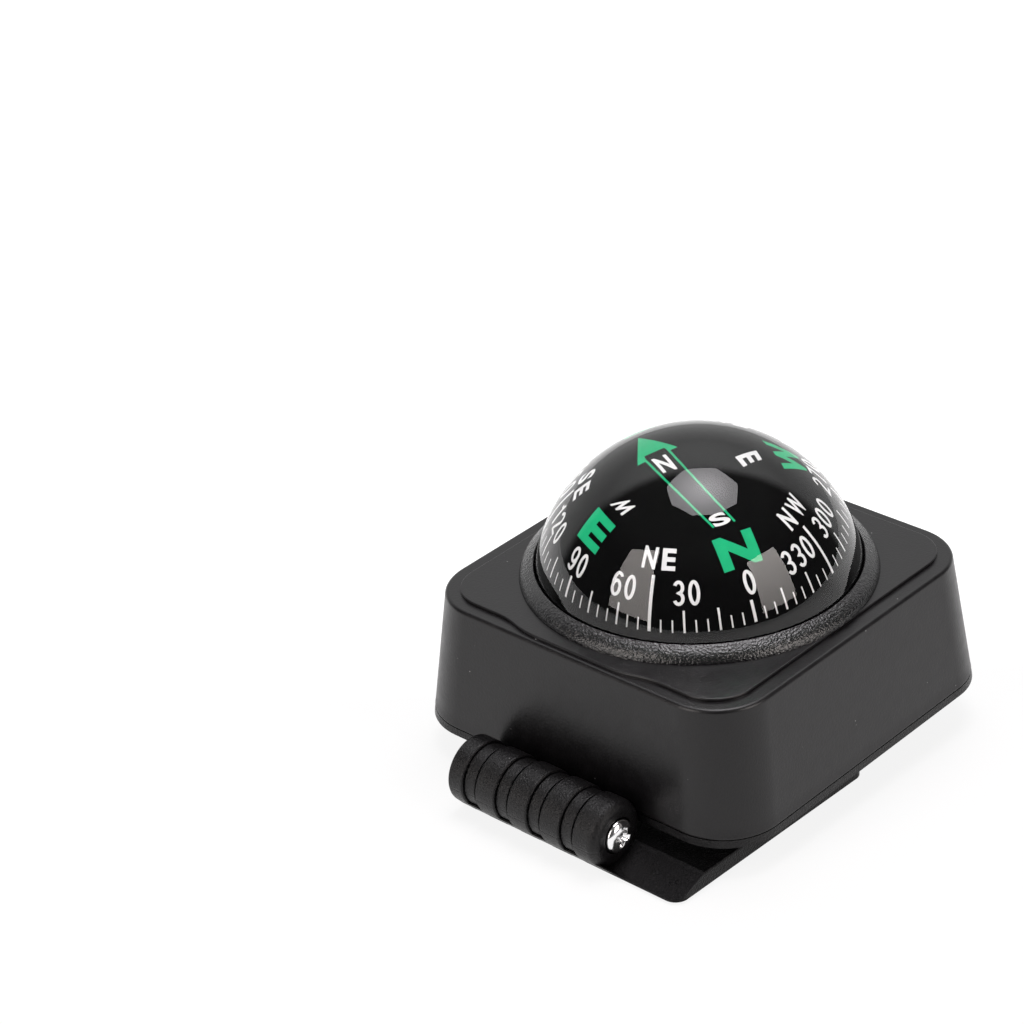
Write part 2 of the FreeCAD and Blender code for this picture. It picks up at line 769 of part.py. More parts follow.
def hinge_screw():
    """The long screw through all nine knuckles, with a cross recess in its pan head."""
    seat = barrel_right - hinge_sink_depth
    length = seat - barrel_left - nut_cover
    edges = [
        line((0, -length), (hinge_screw_radius, -length)),
        line((hinge_screw_radius, -length), (hinge_screw_radius, 0)),
        line((hinge_screw_radius, 0), (hinge_head_radius, 0)),
        line((hinge_head_radius, 0), (hinge_head_radius, hinge_head_edge)),
        cap_arc(hinge_head_radius, hinge_head_edge, hinge_head_height),
        line((0, hinge_head_height), (0, -length)),
    ]
    screw = spin_profile(edges)
    span = hinge_recess_span
    width = hinge_recess_width
    for size_x, size_y in ((span, width), (width, span)):
        corner = FreeCAD.Vector(-size_x / 2, -size_y / 2, hinge_head_height - hinge_recess_depth)
        screw = screw.cut(Part.makeBox(size_x, size_y, hinge_recess_depth + overrun, corner))
    screw.rotate(FreeCAD.Vector(0, 0, 0), FreeCAD.Vector(0, 1, 0), 90)
    screw.translate(FreeCAD.Vector(seat, hinge_y, hinge_z))
    return screw


def hinge_nut():
    """The thin hexagon nut in the pocket at the barrel's far end."""
    start = barrel_left + nut_cover
    nut = hex_prism(nut_across_flats / 2, start, start + nut_thickness)
    return nut.cut(rod(hinge_screw_radius + pilot_gap, start - overrun, start + nut_thickness + overrun))


BASE_PIECES = {
    "base_bracket": base_bracket,
    "adhesive_pad": adhesive_pad,
    "hinge_screw": hinge_screw,
    "hinge_nut": hinge_nut,
}

CASE_PIECES = {
    "bottom_cover": bottom_cover,
    "cover_screws": cover_screws,
    "housing": housing,
    "bezel_ring": bezel_ring,
    "dome": dome,
    "capsule_bowl": capsule_bowl,
    "capsule_seal": capsule_seal,
    "capsule_screws": capsule_screws,
    "fill_plug": fill_plug,
    "expansion_diaphragm": expansion_diaphragm,
    "diaphragm_ring": diaphragm_ring,
    "pivot_stem": pivot_stem,
    "pivot_pin": pivot_pin,
    "card_float": card_float,
    "card_spider": card_spider,
    "jewel_cup": jewel_cup,
    "card_magnets": card_magnets,
}

for name, make in BASE_PIECES.items():
    make().exportStep("parts/" + name + ".step")
for name, make in CASE_PIECES.items():
    place_case(make()).exportStep("parts/" + name + ".step")

lean = math.radians(body_lean)
pivot = FreeCAD.Vector(0, case_reach, case_lift + dome_center_height)
pivot_y = hinge_y + pivot.y * math.cos(lean) - pivot.z * math.sin(lean)
pivot_z = hinge_z + pivot.y * math.sin(lean) + pivot.z * math.cos(lean)
print("case_tilt passes through", (0, hinge_y, hinge_z))
print("card_heading passes through", (case_shift, pivot_y, pivot_z), "along", (0, -math.sin(lean), math.cos(lean)))
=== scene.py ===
import json
import math

import bmesh
import bpy
import numpy as np
from mathutils import Matrix, Vector

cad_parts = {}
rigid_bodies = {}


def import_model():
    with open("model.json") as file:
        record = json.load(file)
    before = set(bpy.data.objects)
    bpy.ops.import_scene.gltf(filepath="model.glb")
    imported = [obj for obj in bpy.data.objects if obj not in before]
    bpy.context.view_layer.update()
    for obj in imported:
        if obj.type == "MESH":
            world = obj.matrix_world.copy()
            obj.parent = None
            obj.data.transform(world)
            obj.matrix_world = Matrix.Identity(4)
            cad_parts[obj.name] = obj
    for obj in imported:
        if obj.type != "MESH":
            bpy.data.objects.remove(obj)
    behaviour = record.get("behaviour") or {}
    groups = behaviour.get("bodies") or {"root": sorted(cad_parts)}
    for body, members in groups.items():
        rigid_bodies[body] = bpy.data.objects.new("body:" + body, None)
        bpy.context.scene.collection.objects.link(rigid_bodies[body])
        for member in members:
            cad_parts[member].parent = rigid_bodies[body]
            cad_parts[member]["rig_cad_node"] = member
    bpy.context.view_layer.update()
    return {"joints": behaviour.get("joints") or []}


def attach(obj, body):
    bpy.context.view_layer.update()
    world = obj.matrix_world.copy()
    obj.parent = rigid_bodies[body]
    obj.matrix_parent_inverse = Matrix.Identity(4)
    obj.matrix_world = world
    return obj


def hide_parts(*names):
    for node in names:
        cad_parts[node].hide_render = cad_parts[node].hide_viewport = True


# A liquid-filled ball compass in its black case. Metres throughout. The case's own frame is level
# with the case, has its origin at the centre of the case's bottom outline, and is tilted back
# about the hinge by the lean that the CAD model has at rest.
MM = 0.001

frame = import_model()

joints = {joint["name"]: joint for joint in frame["joints"]}
HINGE = np.array(joints["case_tilt"]["pos_m"])
CARD_AXIS = np.array(joints["card_heading"]["axis"])
LEAN = math.atan2(-CARD_AXIS[1], CARD_AXIS[2])
CASE_REACH, CASE_LIFT, CASE_SHIFT = 41.5 * MM, -0.8 * MM, -7.8 * MM

# Case sizes, as in the CAD model.
CASE_WIDTH, CASE_DEPTH, CASE_CORNER = 70.9 * MM, 71.0 * MM, 10.8 * MM
CASE_TOP_WIDTH, CASE_TOP_DEPTH, CASE_TOP_CORNER = 65.2 * MM, 66.4 * MM, 10.3 * MM
CASE_HEIGHT = 23.75 * MM
CASE_EDGE = 0.6 * MM
CASE_WALL = 2.0 * MM
CASE_ROOF = 2.45 * MM
COVER_RIM = 1.3 * MM
SEAM_ROUND = 0.3 * MM
PLATEAU_WIDTH, PLATEAU_DEPTH, PLATEAU_CORNER = 59.5 * MM, 61.5 * MM, 7.3 * MM
PLATEAU_RISE = 0.6 * MM
PLATEAU_EDGE, PLATEAU_COVE = 0.22 * MM, 0.04 * MM
TAB_REACH, TAB_CREST, TAB_FOOT = 1.45 * MM, 8.0 * MM, 17.5 * MM
OPENING = 29.0 * MM
PLATEAU_TOP = CASE_HEIGHT + PLATEAU_RISE
ROOF_UNDERSIDE = CASE_HEIGHT - CASE_ROOF

# Dome, ring and card sizes.
DOME_RADIUS, DOME_WALL, DOME_CENTER = 27.8 * MM, 1.5 * MM, 20.65 * MM
FLANGE_RADIUS, FLANGE_THICKNESS = 30.3 * MM, 1.4 * MM
BEZEL_BORE = 27.95 * MM
BEZEL_SKIRT = 28.95 * MM
BEZEL_FOOT = 29.95 * MM
BEZEL_LIP_RISE = 2.1 * MM
# The ring's outer face is a cubic arc: its brow, two guides and its foot.
BEZEL_CURVE = ((27.55 * MM, 26.70 * MM), (28.90 * MM, 26.00 * MM), (29.75 * MM, 25.55 * MM),
               (BEZEL_FOOT, PLATEAU_TOP))
CARD_RADIUS, CARD_WALL, CARD_SKIRT = 21.3 * MM, 1.0 * MM, 5.5 * MM

# The printed scale. Azimuths run clockwise from the mark 0, latitudes up from the card's widest
# circle, in degrees. The card floats with a small dip, so the print is turned about X and Y.
SCALE_TURN, SCALE_DIP_X, SCALE_DIP_Y = -64.27, 3.08, -0.99
PRINT_LIFT = 0.03 * MM

# The camera, in the case's frame: an orbit about a point near the case's bottom centre, fitted to
# the photograph.
CAMERA_AZIMUTH, CAMERA_ELEVATION, CAMERA_ROLL = 44.156, 30.007, -3.957
CAMERA_RANGE, CAMERA_RIGHT, CAMERA_UP, CAMERA_BASE = 551.68 * MM, 32.436 * MM, -29.672 * MM, 0.65 * MM
CAMERA_LENS, SENSOR = 114.36, 36.0

# Points round the case's outlines.
AROUND = 720


def lean_matrix():
    """The turn about X that tilts the case back."""
    c, s = math.cos(LEAN), math.sin(LEAN)
    return np.array([[1, 0, 0], [0, c, -s], [0, s, c]])


def in_case(points):
    """Points of the case's own frame, carried to the object's frame."""
    moved = np.asarray(points, float) + np.array([0, CASE_REACH, CASE_LIFT])
    return moved @ lean_matrix().T + HINGE + np.array([CASE_SHIFT, 0, 0])


# ---------------------------------------------------------------- meshes

def new_piece(name, points, faces, materials, body, nodes=()):
    """A smooth mesh object from points and faces, which rides on a body and may stand for CAD
    nodes."""
    mesh = bpy.data.meshes.new(name)
    mesh.from_pydata(np.asarray(points, float).tolist(), [], faces)
    mesh.validate()
    mesh.polygons.foreach_set("use_smooth", [True] * len(mesh.polygons))
    for each in materials:
        mesh.materials.append(each)
    piece = bpy.data.objects.new(name, mesh)
    bpy.context.scene.collection.objects.link(piece)
    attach(piece, body)
    if nodes:
        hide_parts(*nodes)
    return piece


def ring_faces(rows, columns, closed_rows):
    """Quads of a grid whose columns close round; its rows close too where asked."""
    r, c = np.indices((rows if closed_rows else rows - 1, columns)).reshape(2, -1)
    s, d = (r + 1) % rows, (c + 1) % columns
    return np.stack([r * columns + c, r * columns + d, s * columns + d, s * columns + c], 1).tolist()


def weld(piece):
    """Joins doubled points and turns the faces outward."""
    mesh = bmesh.new()
    mesh.from_mesh(piece.data)
    bmesh.ops.remove_doubles(mesh, verts=mesh.verts, dist=1e-7)
    bmesh.ops.dissolve_degenerate(mesh, edges=mesh.edges, dist=1e-8)
    bmesh.ops.recalc_face_normals(mesh, faces=mesh.faces)
    mesh.to_mesh(piece.data)
    mesh.free()


def sharpen(piece, degrees):
    """Marks the edges that turn by more than an angle as sharp."""
    mesh = bmesh.new()
    mesh.from_mesh(piece.data)
    for edge in mesh.edges:
        if len(edge.link_faces) == 2 and edge.calc_face_angle() > math.radians(degrees):
            edge.smooth = False
    mesh.to_mesh(piece.data)
    mesh.free()


def circle(count):
    """Evenly spaced points of a circle of radius one."""
    turn = np.linspace(0, 2 * math.pi, count, endpoint=False)
    return np.stack([np.cos(turn), np.sin(turn)], 1)


def spin_piece(name, profile, materials, body, nodes, columns):
    """A closed piece of revolution about the dome's axis: each (radius, height) point of the
    profile goes round in a circle, the point at angle a being (radius cos a, radius sin a,
    height). Profile points on the axis become poles."""
    x, y = circle(columns).T
    radius, height = (column[:, None] for column in np.array(profile).T)
    rows = np.stack([radius * x, radius * y, height + 0 * x], 2)
    faces = ring_faces(len(rows), columns, True)
    piece = new_piece(name, in_case(rows.reshape(-1, 3)), faces, materials, body, nodes)
    weld(piece)
    return piece


# ---------------------------------------------------------------- outlines of the case

# The directions from an outline's centre in which its points lie.
RAYS = circle(AROUND)


def square_outline(width, depth, corner):
    """Points of a rounded rectangle, where the rays from its centre meet it."""
    c, s = RAYS.T
    across, ahead = np.abs(c) + 1e-12, np.abs(s) + 1e-12
    hx, hy = width / 2, depth / 2
    flat_x = hx / across
    flat_y = hy / ahead
    on_x = flat_x * ahead <= hy - corner
    on_y = flat_y * across <= hx - corner
    px, py = hx - corner, hy - corner
    along = px * across + py * ahead
    inside = np.maximum(along ** 2 - (px ** 2 + py ** 2 - corner ** 2), 0)
    reach = np.where(on_x, flat_x, np.where(on_y, flat_y, along + np.sqrt(inside)))
    return reach[:, None] * RAYS


def tab_bulge(x, grow):
    """How far the plateau's front edge stands forward at x: nothing past the tab's foot, two equal
    arcs up from there, and the full reach on its crest. Grow widens it with the outline."""
    foot, crest = TAB_FOOT + grow, TAB_CREST + grow
    run = foot - crest
    radius = (run ** 2 + TAB_REACH ** 2) / (4 * TAB_REACH)
    d = np.clip(foot - np.abs(x), 0, run)
    low = radius - np.sqrt(radius ** 2 - np.minimum(d, run / 2) ** 2)
    high = TAB_REACH - (radius - np.sqrt(radius ** 2 - np.minimum(run - d, run / 2) ** 2))
    return np.where(d <= run / 2, low, high)


def plateau_outline(grow):
    """The plateau's outline, moved outwards by grow: a rounded rectangle whose front edge is moved
    forward by the tab's bulge; rays that meet the front edge are solved by repetition."""
    outline = square_outline(PLATEAU_WIDTH + 2 * grow, PLATEAU_DEPTH + 2 * grow, PLATEAU_CORNER + grow)
    c, s = RAYS.T
    front = (s < 0) & (np.abs(outline[:, 0]) < TAB_FOOT + grow + 0.5 * MM)
    reach = np.hypot(outline[:, 0], outline[:, 1])
    for _ in range(40):
        bulged = (PLATEAU_DEPTH / 2 + grow + tab_bulge(reach * c, grow)) / np.maximum(-s, 1e-6)
        reach = np.where(front, bulged, reach)
    return reach[:, None] * RAYS


def case_outline(height, inset=0.0):
    """The tapered case's outline at a height, drawn in by an inset."""
    share = height / CASE_HEIGHT
    width = CASE_WIDTH + (CASE_TOP_WIDTH - CASE_WIDTH) * share - 2 * inset
    depth = CASE_DEPTH + (CASE_TOP_DEPTH - CASE_DEPTH) * share - 2 * inset
    corner = CASE_CORNER + (CASE_TOP_CORNER - CASE_CORNER) * share - inset
    return square_outline(width, depth, corner)


def quarter(steps):
    """A quarter round from its foot up: how far it has risen and come over, as shares."""
    return [(math.sin(a), 1 - math.cos(a)) for a in np.radians(np.linspace(0, 90, steps))]


def case_shell():
    """The case as one closed loft: each row is an outline at a height, from the seam's rounded
    edge up the tapered wall, over the top edge, up and over the plateau, down the dome's opening
    and back inside. Rows close beside an edge keep the flat faces' shading flat."""
    rows = []

    def row(outline, height):
        rows.append(np.column_stack([outline, np.full(len(outline), height)]))

    row(case_outline(COVER_RIM, CASE_WALL), COVER_RIM)
    row(case_outline(COVER_RIM, SEAM_ROUND + 0.1 * MM), COVER_RIM)
    for up, over in quarter(5):
        row(case_outline(COVER_RIM, SEAM_ROUND * (1 - up)), COVER_RIM + SEAM_ROUND * over)
    low, high = COVER_RIM + SEAM_ROUND, CASE_HEIGHT - CASE_EDGE
    for share in (0.01, 0.1, 0.3, 0.5, 0.7, 0.9, 0.99):
        height = low + (high - low) * share
        row(case_outline(height), height)
    for up, over in quarter(9):
        height = high + CASE_EDGE * up
        row(case_outline(height, CASE_EDGE * over), height)
    edge = case_outline(CASE_HEIGHT, CASE_EDGE)
    foot = plateau_outline(PLATEAU_COVE)
    for share in (0.08, 0.5, 0.92):
        row(edge + (foot - edge) * share, CASE_HEIGHT)
    for up, over in quarter(5):
        row(plateau_outline(PLATEAU_COVE * (1 - up)), CASE_HEIGHT + PLATEAU_COVE * over)
    shoulder = PLATEAU_TOP - PLATEAU_EDGE
    for up, over in quarter(8):
        row(plateau_outline(-PLATEAU_EDGE * over), shoulder + PLATEAU_EDGE * up)
    brow = plateau_outline(-PLATEAU_EDGE)
    mouth = OPENING * RAYS
    for share in (0.05, 0.35, 0.65, 0.95, 1.0):
        row(brow + (mouth - brow) * share, PLATEAU_TOP)
    row(mouth, ROOF_UNDERSIDE)
    row(case_outline(ROOF_UNDERSIDE, CASE_WALL), ROOF_UNDERSIDE)
    points = in_case(np.array(rows).reshape(-1, 3))
    faces = ring_faces(len(rows), AROUND, True)
    piece = new_piece("case_shell", points, faces, [CASE_PLASTIC], "case", ["housing"])
    weld(piece)
    sharpen(piece, 40)


# ---------------------------------------------------------------- materials

def material(name):
    """A new material, its nodes, its links and its shader node."""
    made = bpy.data.materials.new(name)
    made.use_nodes = True
    return made, made.node_tree.nodes, made.node_tree.links, made.node_tree.nodes["Principled BSDF"]


def noise(nodes, links, scale, detail=3.0, rough=0.55):
    """Noise on the object's own coordinates, its scale in waves per metre."""
    place = nodes.new("ShaderNodeTexCoord")
    cloud = nodes.new("ShaderNodeTexNoise")
    cloud.inputs["Scale"].default_value = scale
    cloud.inputs["Detail"].default_value = detail
    cloud.inputs["Roughness"].default_value = rough
    links.new(place.outputs["Object"], cloud.inputs["Vector"])
    return cloud


def ramp(nodes, links, source, low, high, low_value, high_value):
    """Maps a range of a source's value to another range."""
    scale = nodes.new("ShaderNodeMapRange")
    scale.inputs["From Min"].default_value = low
    scale.inputs["From Max"].default_value = high
    scale.inputs["To Min"].default_value = low_value
    scale.inputs["To Max"].default_value = high_value
    links.new(source, scale.inputs["Value"])
    return scale.outputs["Result"]


def tint(nodes, links, fac, dark, light):
    """A colour between two, by a factor."""
    mix = nodes.new("ShaderNodeMix")
    mix.data_type = "RGBA"
    mix.inputs["A"].default_value = (*dark, 1)
    mix.inputs["B"].default_value = (*light, 1)
    links.new(fac, mix.inputs["Factor"])
    return mix.outputs["Result"]


def combined(nodes, links, one, other, operation="MULTIPLY"):
    """The product of two linked numbers, or what another operation makes of them."""
    node = nodes.new("ShaderNodeMath")
    node.operation = operation
    links.new(one, node.inputs[0])
    links.new(other, node.inputs[1])
    return node.outputs["Value"]


def bump(nodes, links, height, strength, distance, under=None):
    """A bump node, on top of another where given."""
    node = nodes.new("ShaderNodeBump")
    node.inputs["Strength"].default_value = strength
    node.inputs["Distance"].default_value = distance
    links.new(height, node.inputs["Height"])
    if under:
        links.new(under.outputs["Normal"], node.inputs["Normal"])
    return node


def toward_colour(nodes, links, fac, colour, other):
    """A linked colour that turns to a fixed one, by a factor."""
    mix = nodes.new("ShaderNodeMix")
    mix.data_type = "RGBA"
    links.new(fac, mix.inputs["Factor"])
    links.new(colour, mix.inputs["A"])
    mix.inputs["B"].default_value = (*other, 1)
    return mix.outputs["Result"]


def dust(nodes, links):
    """Specks a tenth of a millimetre or so wide, a few millimetres apart: 1 on a speck, else 0."""
    place = nodes.new("ShaderNodeTexCoord")
    dots = nodes.new("ShaderNodeTexVoronoi")
    dots.inputs["Scale"].default_value = 260
    dots.inputs["Randomness"].default_value = 1.0
    links.new(place.outputs["Object"], dots.inputs["Vector"])
    return ramp(nodes, links, dots.outputs["Distance"], 0.015, 0.04, 1.0, 0.0)


def moulded_plastic(name, dark, light, rough, specular, grain, grain_depth, specks=True):
    """Black moulded plastic: fine grain, slow waves, patches of polish and a few dust specks."""
    made, nodes, links, shader = material(name)
    slow = noise(nodes, links, 90, 2)
    fine = noise(nodes, links, grain, 2, 0.6)
    wear = noise(nodes, links, 420, 5, 0.65)
    colour = tint(nodes, links, wear.outputs["Fac"], dark, light)
    if specks:
        colour = toward_colour(nodes, links, dust(nodes, links), colour, (0.22, 0.22, 0.22))
    links.new(colour, shader.inputs["Base Color"])
    polish = ramp(nodes, links, wear.outputs["Fac"], 0.3, 0.7, rough - 0.05, rough + 0.05)
    links.new(polish, shader.inputs["Roughness"])
    shader.inputs["Specular IOR Level"].default_value = specular
    wave = bump(nodes, links, slow.outputs["Fac"], 0.25, 0.25 * MM)
    skin = bump(nodes, links, fine.outputs["Fac"], 0.5, grain_depth, wave)
    links.new(skin.outputs["Normal"], shader.inputs["Normal"])
    return made


def parting_groove(nodes, links, split):
    """0 in a narrow groove along the front of the knuckles, a little below their axis, else 1."""
    line, half = HINGE[2] - 0.9 * MM, 0.18 * MM
    above = ramp(nodes, links, split.outputs["Z"], line, line + half, 0.0, 1.0)
    below = ramp(nodes, links, split.outputs["Z"], line - half, line, 1.0, 0.0)
    front = nodes.new("ShaderNodeMath")
    front.operation = "LESS_THAN"
    front.inputs[1].default_value = HINGE[1] - 3.5 * MM
    links.new(split.outputs["Y"], front.inputs[0])
    groove = nodes.new("ShaderNodeMix")
    groove.inputs["A"].default_value = 1.0
    links.new(front.outputs["Value"], groove.inputs["Factor"])
    links.new(combined(nodes, links, above, below, "ADD"), groove.inputs["B"])
    return groove.outputs["Result"]


def hinge_plastic(name):
    """The hinge's grained plastic, with a fine parting groove along the front of every knuckle.
    The plate is less glossy than the knuckles. Its top behind its ridge has painted shade where the case
    shadows it: a near-black colour and little gloss."""
    made = moulded_plastic(name, (0.0026, 0.0024, 0.0027), (0.0050, 0.0046, 0.0052),
                           rough=0.31, specular=0.42, grain=3300, grain_depth=0.34 * MM)
    nodes, links = made.node_tree.nodes, made.node_tree.links
    shader = nodes["Principled BSDF"]
    place = nodes.new("ShaderNodeTexCoord")
    split = nodes.new("ShaderNodeSeparateXYZ")
    links.new(place.outputs["Object"], split.inputs["Vector"])
    height = split.outputs["Z"]
    gloss = ramp(nodes, links, height, 2.9 * MM, 3.5 * MM, 0.12, 0.30)
    # Painted shade: the plate's top behind its ridge lies in the case's shadow, so there its colour is turned
    # near black and its gloss is cut.
    behind_ridge = ramp(nodes, links, split.outputs["Y"], HINGE[1] + 4.2 * MM, HINGE[1] + 4.35 * MM, 0.0, 1.0)
    above_edges = ramp(nodes, links, height, 3.02 * MM, 3.10 * MM, 0.0, 1.0)
    below_arms = ramp(nodes, links, height, 3.20 * MM, 3.30 * MM, 1.0, 0.0)
    painted_shade = combined(nodes, links, combined(nodes, links, behind_ridge, above_edges), below_arms)
    kept_gloss = ramp(nodes, links, painted_shade, 0.0, 1.0, 1.0, 0.15)
    links.new(combined(nodes, links, gloss, kept_gloss), shader.inputs["Specular IOR Level"])
    plain = shader.inputs["Base Color"].links[0].from_socket
    # This near-black colour is painted shade on the plate's top behind its ridge.
    links.new(toward_colour(nodes, links, painted_shade, plain, (0.0018, 0.0018, 0.0019)), shader.inputs["Base Color"])
    skin = shader.inputs["Normal"].links[0].from_node
    cut = bump(nodes, links, parting_groove(nodes, links, split), 0.8, 0.08 * MM, skin)
    links.new(cut.outputs["Normal"], shader.inputs["Normal"])
    return made


def stippled_plastic(name):
    """The trim ring's coarse, glossy spark-eroded skin."""
    made, nodes, links, shader = material(name)
    coarse = noise(nodes, links, 2700, 1.5, 0.5)
    fine = noise(nodes, links, 6000, 1, 0.5)
    colour = tint(nodes, links, coarse.outputs["Fac"], (0.0022, 0.0020, 0.0024), (0.0046, 0.0042, 0.0050))
    links.new(colour, shader.inputs["Base Color"])
    shader.inputs["Roughness"].default_value = 0.24
    shader.inputs["Specular IOR Level"].default_value = 0.8
    first = bump(nodes, links, coarse.outputs["Fac"], 1.0, 0.17 * MM)
    second = bump(nodes, links, fine.outputs["Fac"], 0.5, 0.03 * MM, first)
    links.new(second.outputs["Normal"], shader.inputs["Normal"])
    return made


def clear_acrylic():
    """Polished acrylic over clear liquid. Shadow rays pass, so that the lamps reach the card."""
    made, nodes, links, shader = material("clear_acrylic")
    shader.inputs["Base Color"].default_value = (0.97, 0.98, 0.98, 1)
    shader.inputs["Transmission Weight"].default_value = 1.0
    shader.inputs["Roughness"].default_value = 0.0
    shader.inputs["IOR"].default_value = 1.47
    haze = noise(nodes, links, 260, 3)
    swirl = bump(nodes, links, haze.outputs["Fac"], 0.012, 0.05 * MM)
    links.new(swirl.outputs["Normal"], shader.inputs["Normal"])
    path = nodes.new("ShaderNodeLightPath")
    clear = nodes.new("ShaderNodeBsdfTransparent")
    clear.inputs["Color"].default_value = (0.93, 0.94, 0.94, 1)
    mix = nodes.new("ShaderNodeMixShader")
    links.new(path.outputs["Is Shadow Ray"], mix.inputs["Fac"])
    links.new(shader.outputs["BSDF"], mix.inputs[1])
    links.new(clear.outputs["BSDF"], mix.inputs[2])
    links.new(mix.outputs["Shader"], nodes["Material Output"].inputs["Surface"])
    return made


def matched_face():
    """The dome's inner face: the liquid matches the acrylic, so light passes it unbent."""
    made, nodes, links, shader = material("liquid_contact")
    shader.inputs["Base Color"].default_value = (1, 1, 1, 1)
    shader.inputs["Alpha"].default_value = 0.0
    return made


def printed(name, dark, light, rough=0.5, specular=0.1):
    """Screen-printed ink with slightly uneven cover."""
    made, nodes, links, shader = material(name)
    patch = noise(nodes, links, 900, 3)
    links.new(tint(nodes, links, patch.outputs["Fac"], dark, light), shader.inputs["Base Color"])
    shader.inputs["Roughness"].default_value = rough
    shader.inputs["Specular IOR Level"].default_value = specular
    return made


def metal(name, dark, light, rough, scratch):
    """A metal with slight unevenness of polish and fine marks."""
    made, nodes, links, shader = material(name)
    patch = noise(nodes, links, 700, 4)
    links.new(tint(nodes, links, patch.outputs["Fac"], dark, light), shader.inputs["Base Color"])
    shader.inputs["Metallic"].default_value = 1.0
    polish = ramp(nodes, links, patch.outputs["Fac"], 0.3, 0.7, rough, rough + 0.08)
    links.new(polish, shader.inputs["Roughness"])
    marks = noise(nodes, links, 2600, 2)
    skin = bump(nodes, links, marks.outputs["Fac"], scratch, 0.03 * MM)
    links.new(skin.outputs["Normal"], shader.inputs["Normal"])
    return made


def rubber(name, dark, light, grain):
    """Matt rubber or foam with an open grain."""
    made, nodes, links, shader = material(name)
    pores = noise(nodes, links, grain, 4)
    links.new(tint(nodes, links, pores.outputs["Fac"], dark, light), shader.inputs["Base Color"])
    shader.inputs["Roughness"].default_value = 0.85
    skin = bump(nodes, links, pores.outputs["Fac"], 0.6, 0.1 * MM)
    links.new(skin.outputs["Normal"], shader.inputs["Normal"])
    return made


CASE_PLASTIC = moulded_plastic("case_plastic", (0.0030, 0.0026, 0.0031), (0.0050, 0.0044, 0.0052),
                               rough=0.34, specular=0.42, grain=2300, grain_depth=0.05 * MM)
HINGE_PLASTIC = hinge_plastic("hinge_plastic")
BEZEL_PLASTIC = stippled_plastic("bezel_plastic")
BOWL_PLASTIC = moulded_plastic("bowl_plastic", (0.003, 0.003, 0.003), (0.005, 0.005, 0.005),
                               rough=0.5, specular=0.2, grain=1500, grain_depth=0.03 * MM, specks=False)
CARD_BLACK = printed("card_black", (0.0008, 0.0008, 0.0009), (0.0016, 0.0016, 0.0017),
                     rough=0.7, specular=0.0)
PRINT_WHITE = printed("print_white", (0.72, 0.72, 0.72), (0.84, 0.84, 0.84))
PRINT_GREEN = printed("print_green", (0.006, 0.38, 0.16), (0.012, 0.47, 0.20))
CLEAR = clear_acrylic()
CONTACT = matched_face()
CHROME = metal("screw_chrome", (0.90, 0.90, 0.91), (0.97, 0.97, 0.97), rough=0.13, scratch=0.12)
STEEL = metal("screw_steel", (0.42, 0.42, 0.43), (0.58, 0.58, 0.6), rough=0.28, scratch=0.3)
BRASS = metal("pivot_brass", (0.62, 0.45, 0.2), (0.76, 0.6, 0.32), rough=0.22, scratch=0.2)
JEWEL = printed("jewel", (0.35, 0.03, 0.07), (0.5, 0.06, 0.12), rough=0.1)
MAGNET = metal("magnet", (0.1, 0.1, 0.11), (0.18, 0.18, 0.19), rough=0.4, scratch=0.3)
RUBBER = rubber("seal_rubber", (0.015, 0.015, 0.015), (0.03, 0.03, 0.03), grain=1500)
FOAM = rubber("foam", (0.04, 0.04, 0.042), (0.09, 0.09, 0.092), grain=2400)

NODE_MATERIALS = {
    "base_bracket": HINGE_PLASTIC, "adhesive_pad": FOAM, "hinge_screw": CHROME, "hinge_nut": STEEL,
    "bottom_cover": HINGE_PLASTIC, "cover_screws": STEEL, "housing": CASE_PLASTIC,
    "bezel_ring": BEZEL_PLASTIC, "dome": CLEAR, "capsule_bowl": BOWL_PLASTIC,
    "capsule_seal": RUBBER, "capsule_screws": STEEL,
    "fill_plug": RUBBER, "expansion_diaphragm": RUBBER, "diaphragm_ring": STEEL, "pivot_stem": BRASS,
    "pivot_pin": STEEL, "card_float": CARD_BLACK, "card_spider": BOWL_PLASTIC, "jewel_cup": JEWEL,
    "card_magnets": MAGNET,
}

for node_object in bpy.context.scene.objects:
    finish = NODE_MATERIALS.get(node_object.get("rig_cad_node"))
    if finish:
        if not node_object.material_slots:
            node_object.data.materials.append(finish)
        for place in node_object.material_slots:
            place.material = finish


# ---------------------------------------------------------------- capsule

BALL_CENTER = in_case([[0, 0, DOME_CENTER]])[0]


def values_of(elements, key, width):
    """One value of every vertex, edge or face of a mesh, as the rows of an array."""
    values = np.empty(len(elements) * width, np.int32 if key == "vertices" else np.float32)
    elements.foreach_get(key, values)
    return values.reshape(-1, width)


def latitude_at(height, radius):
    """The latitude, in degrees, of a height on a ball about the dome's centre."""
    return math.degrees(math.asin((height - DOME_CENTER) / radius))


def meridian(radius, low, high, steps):
    """Profile points of a ball between two latitudes in degrees."""
    return [(radius * math.cos(a), DOME_CENTER + radius * math.sin(a))
            for a in np.radians(np.linspace(low, high, steps))]


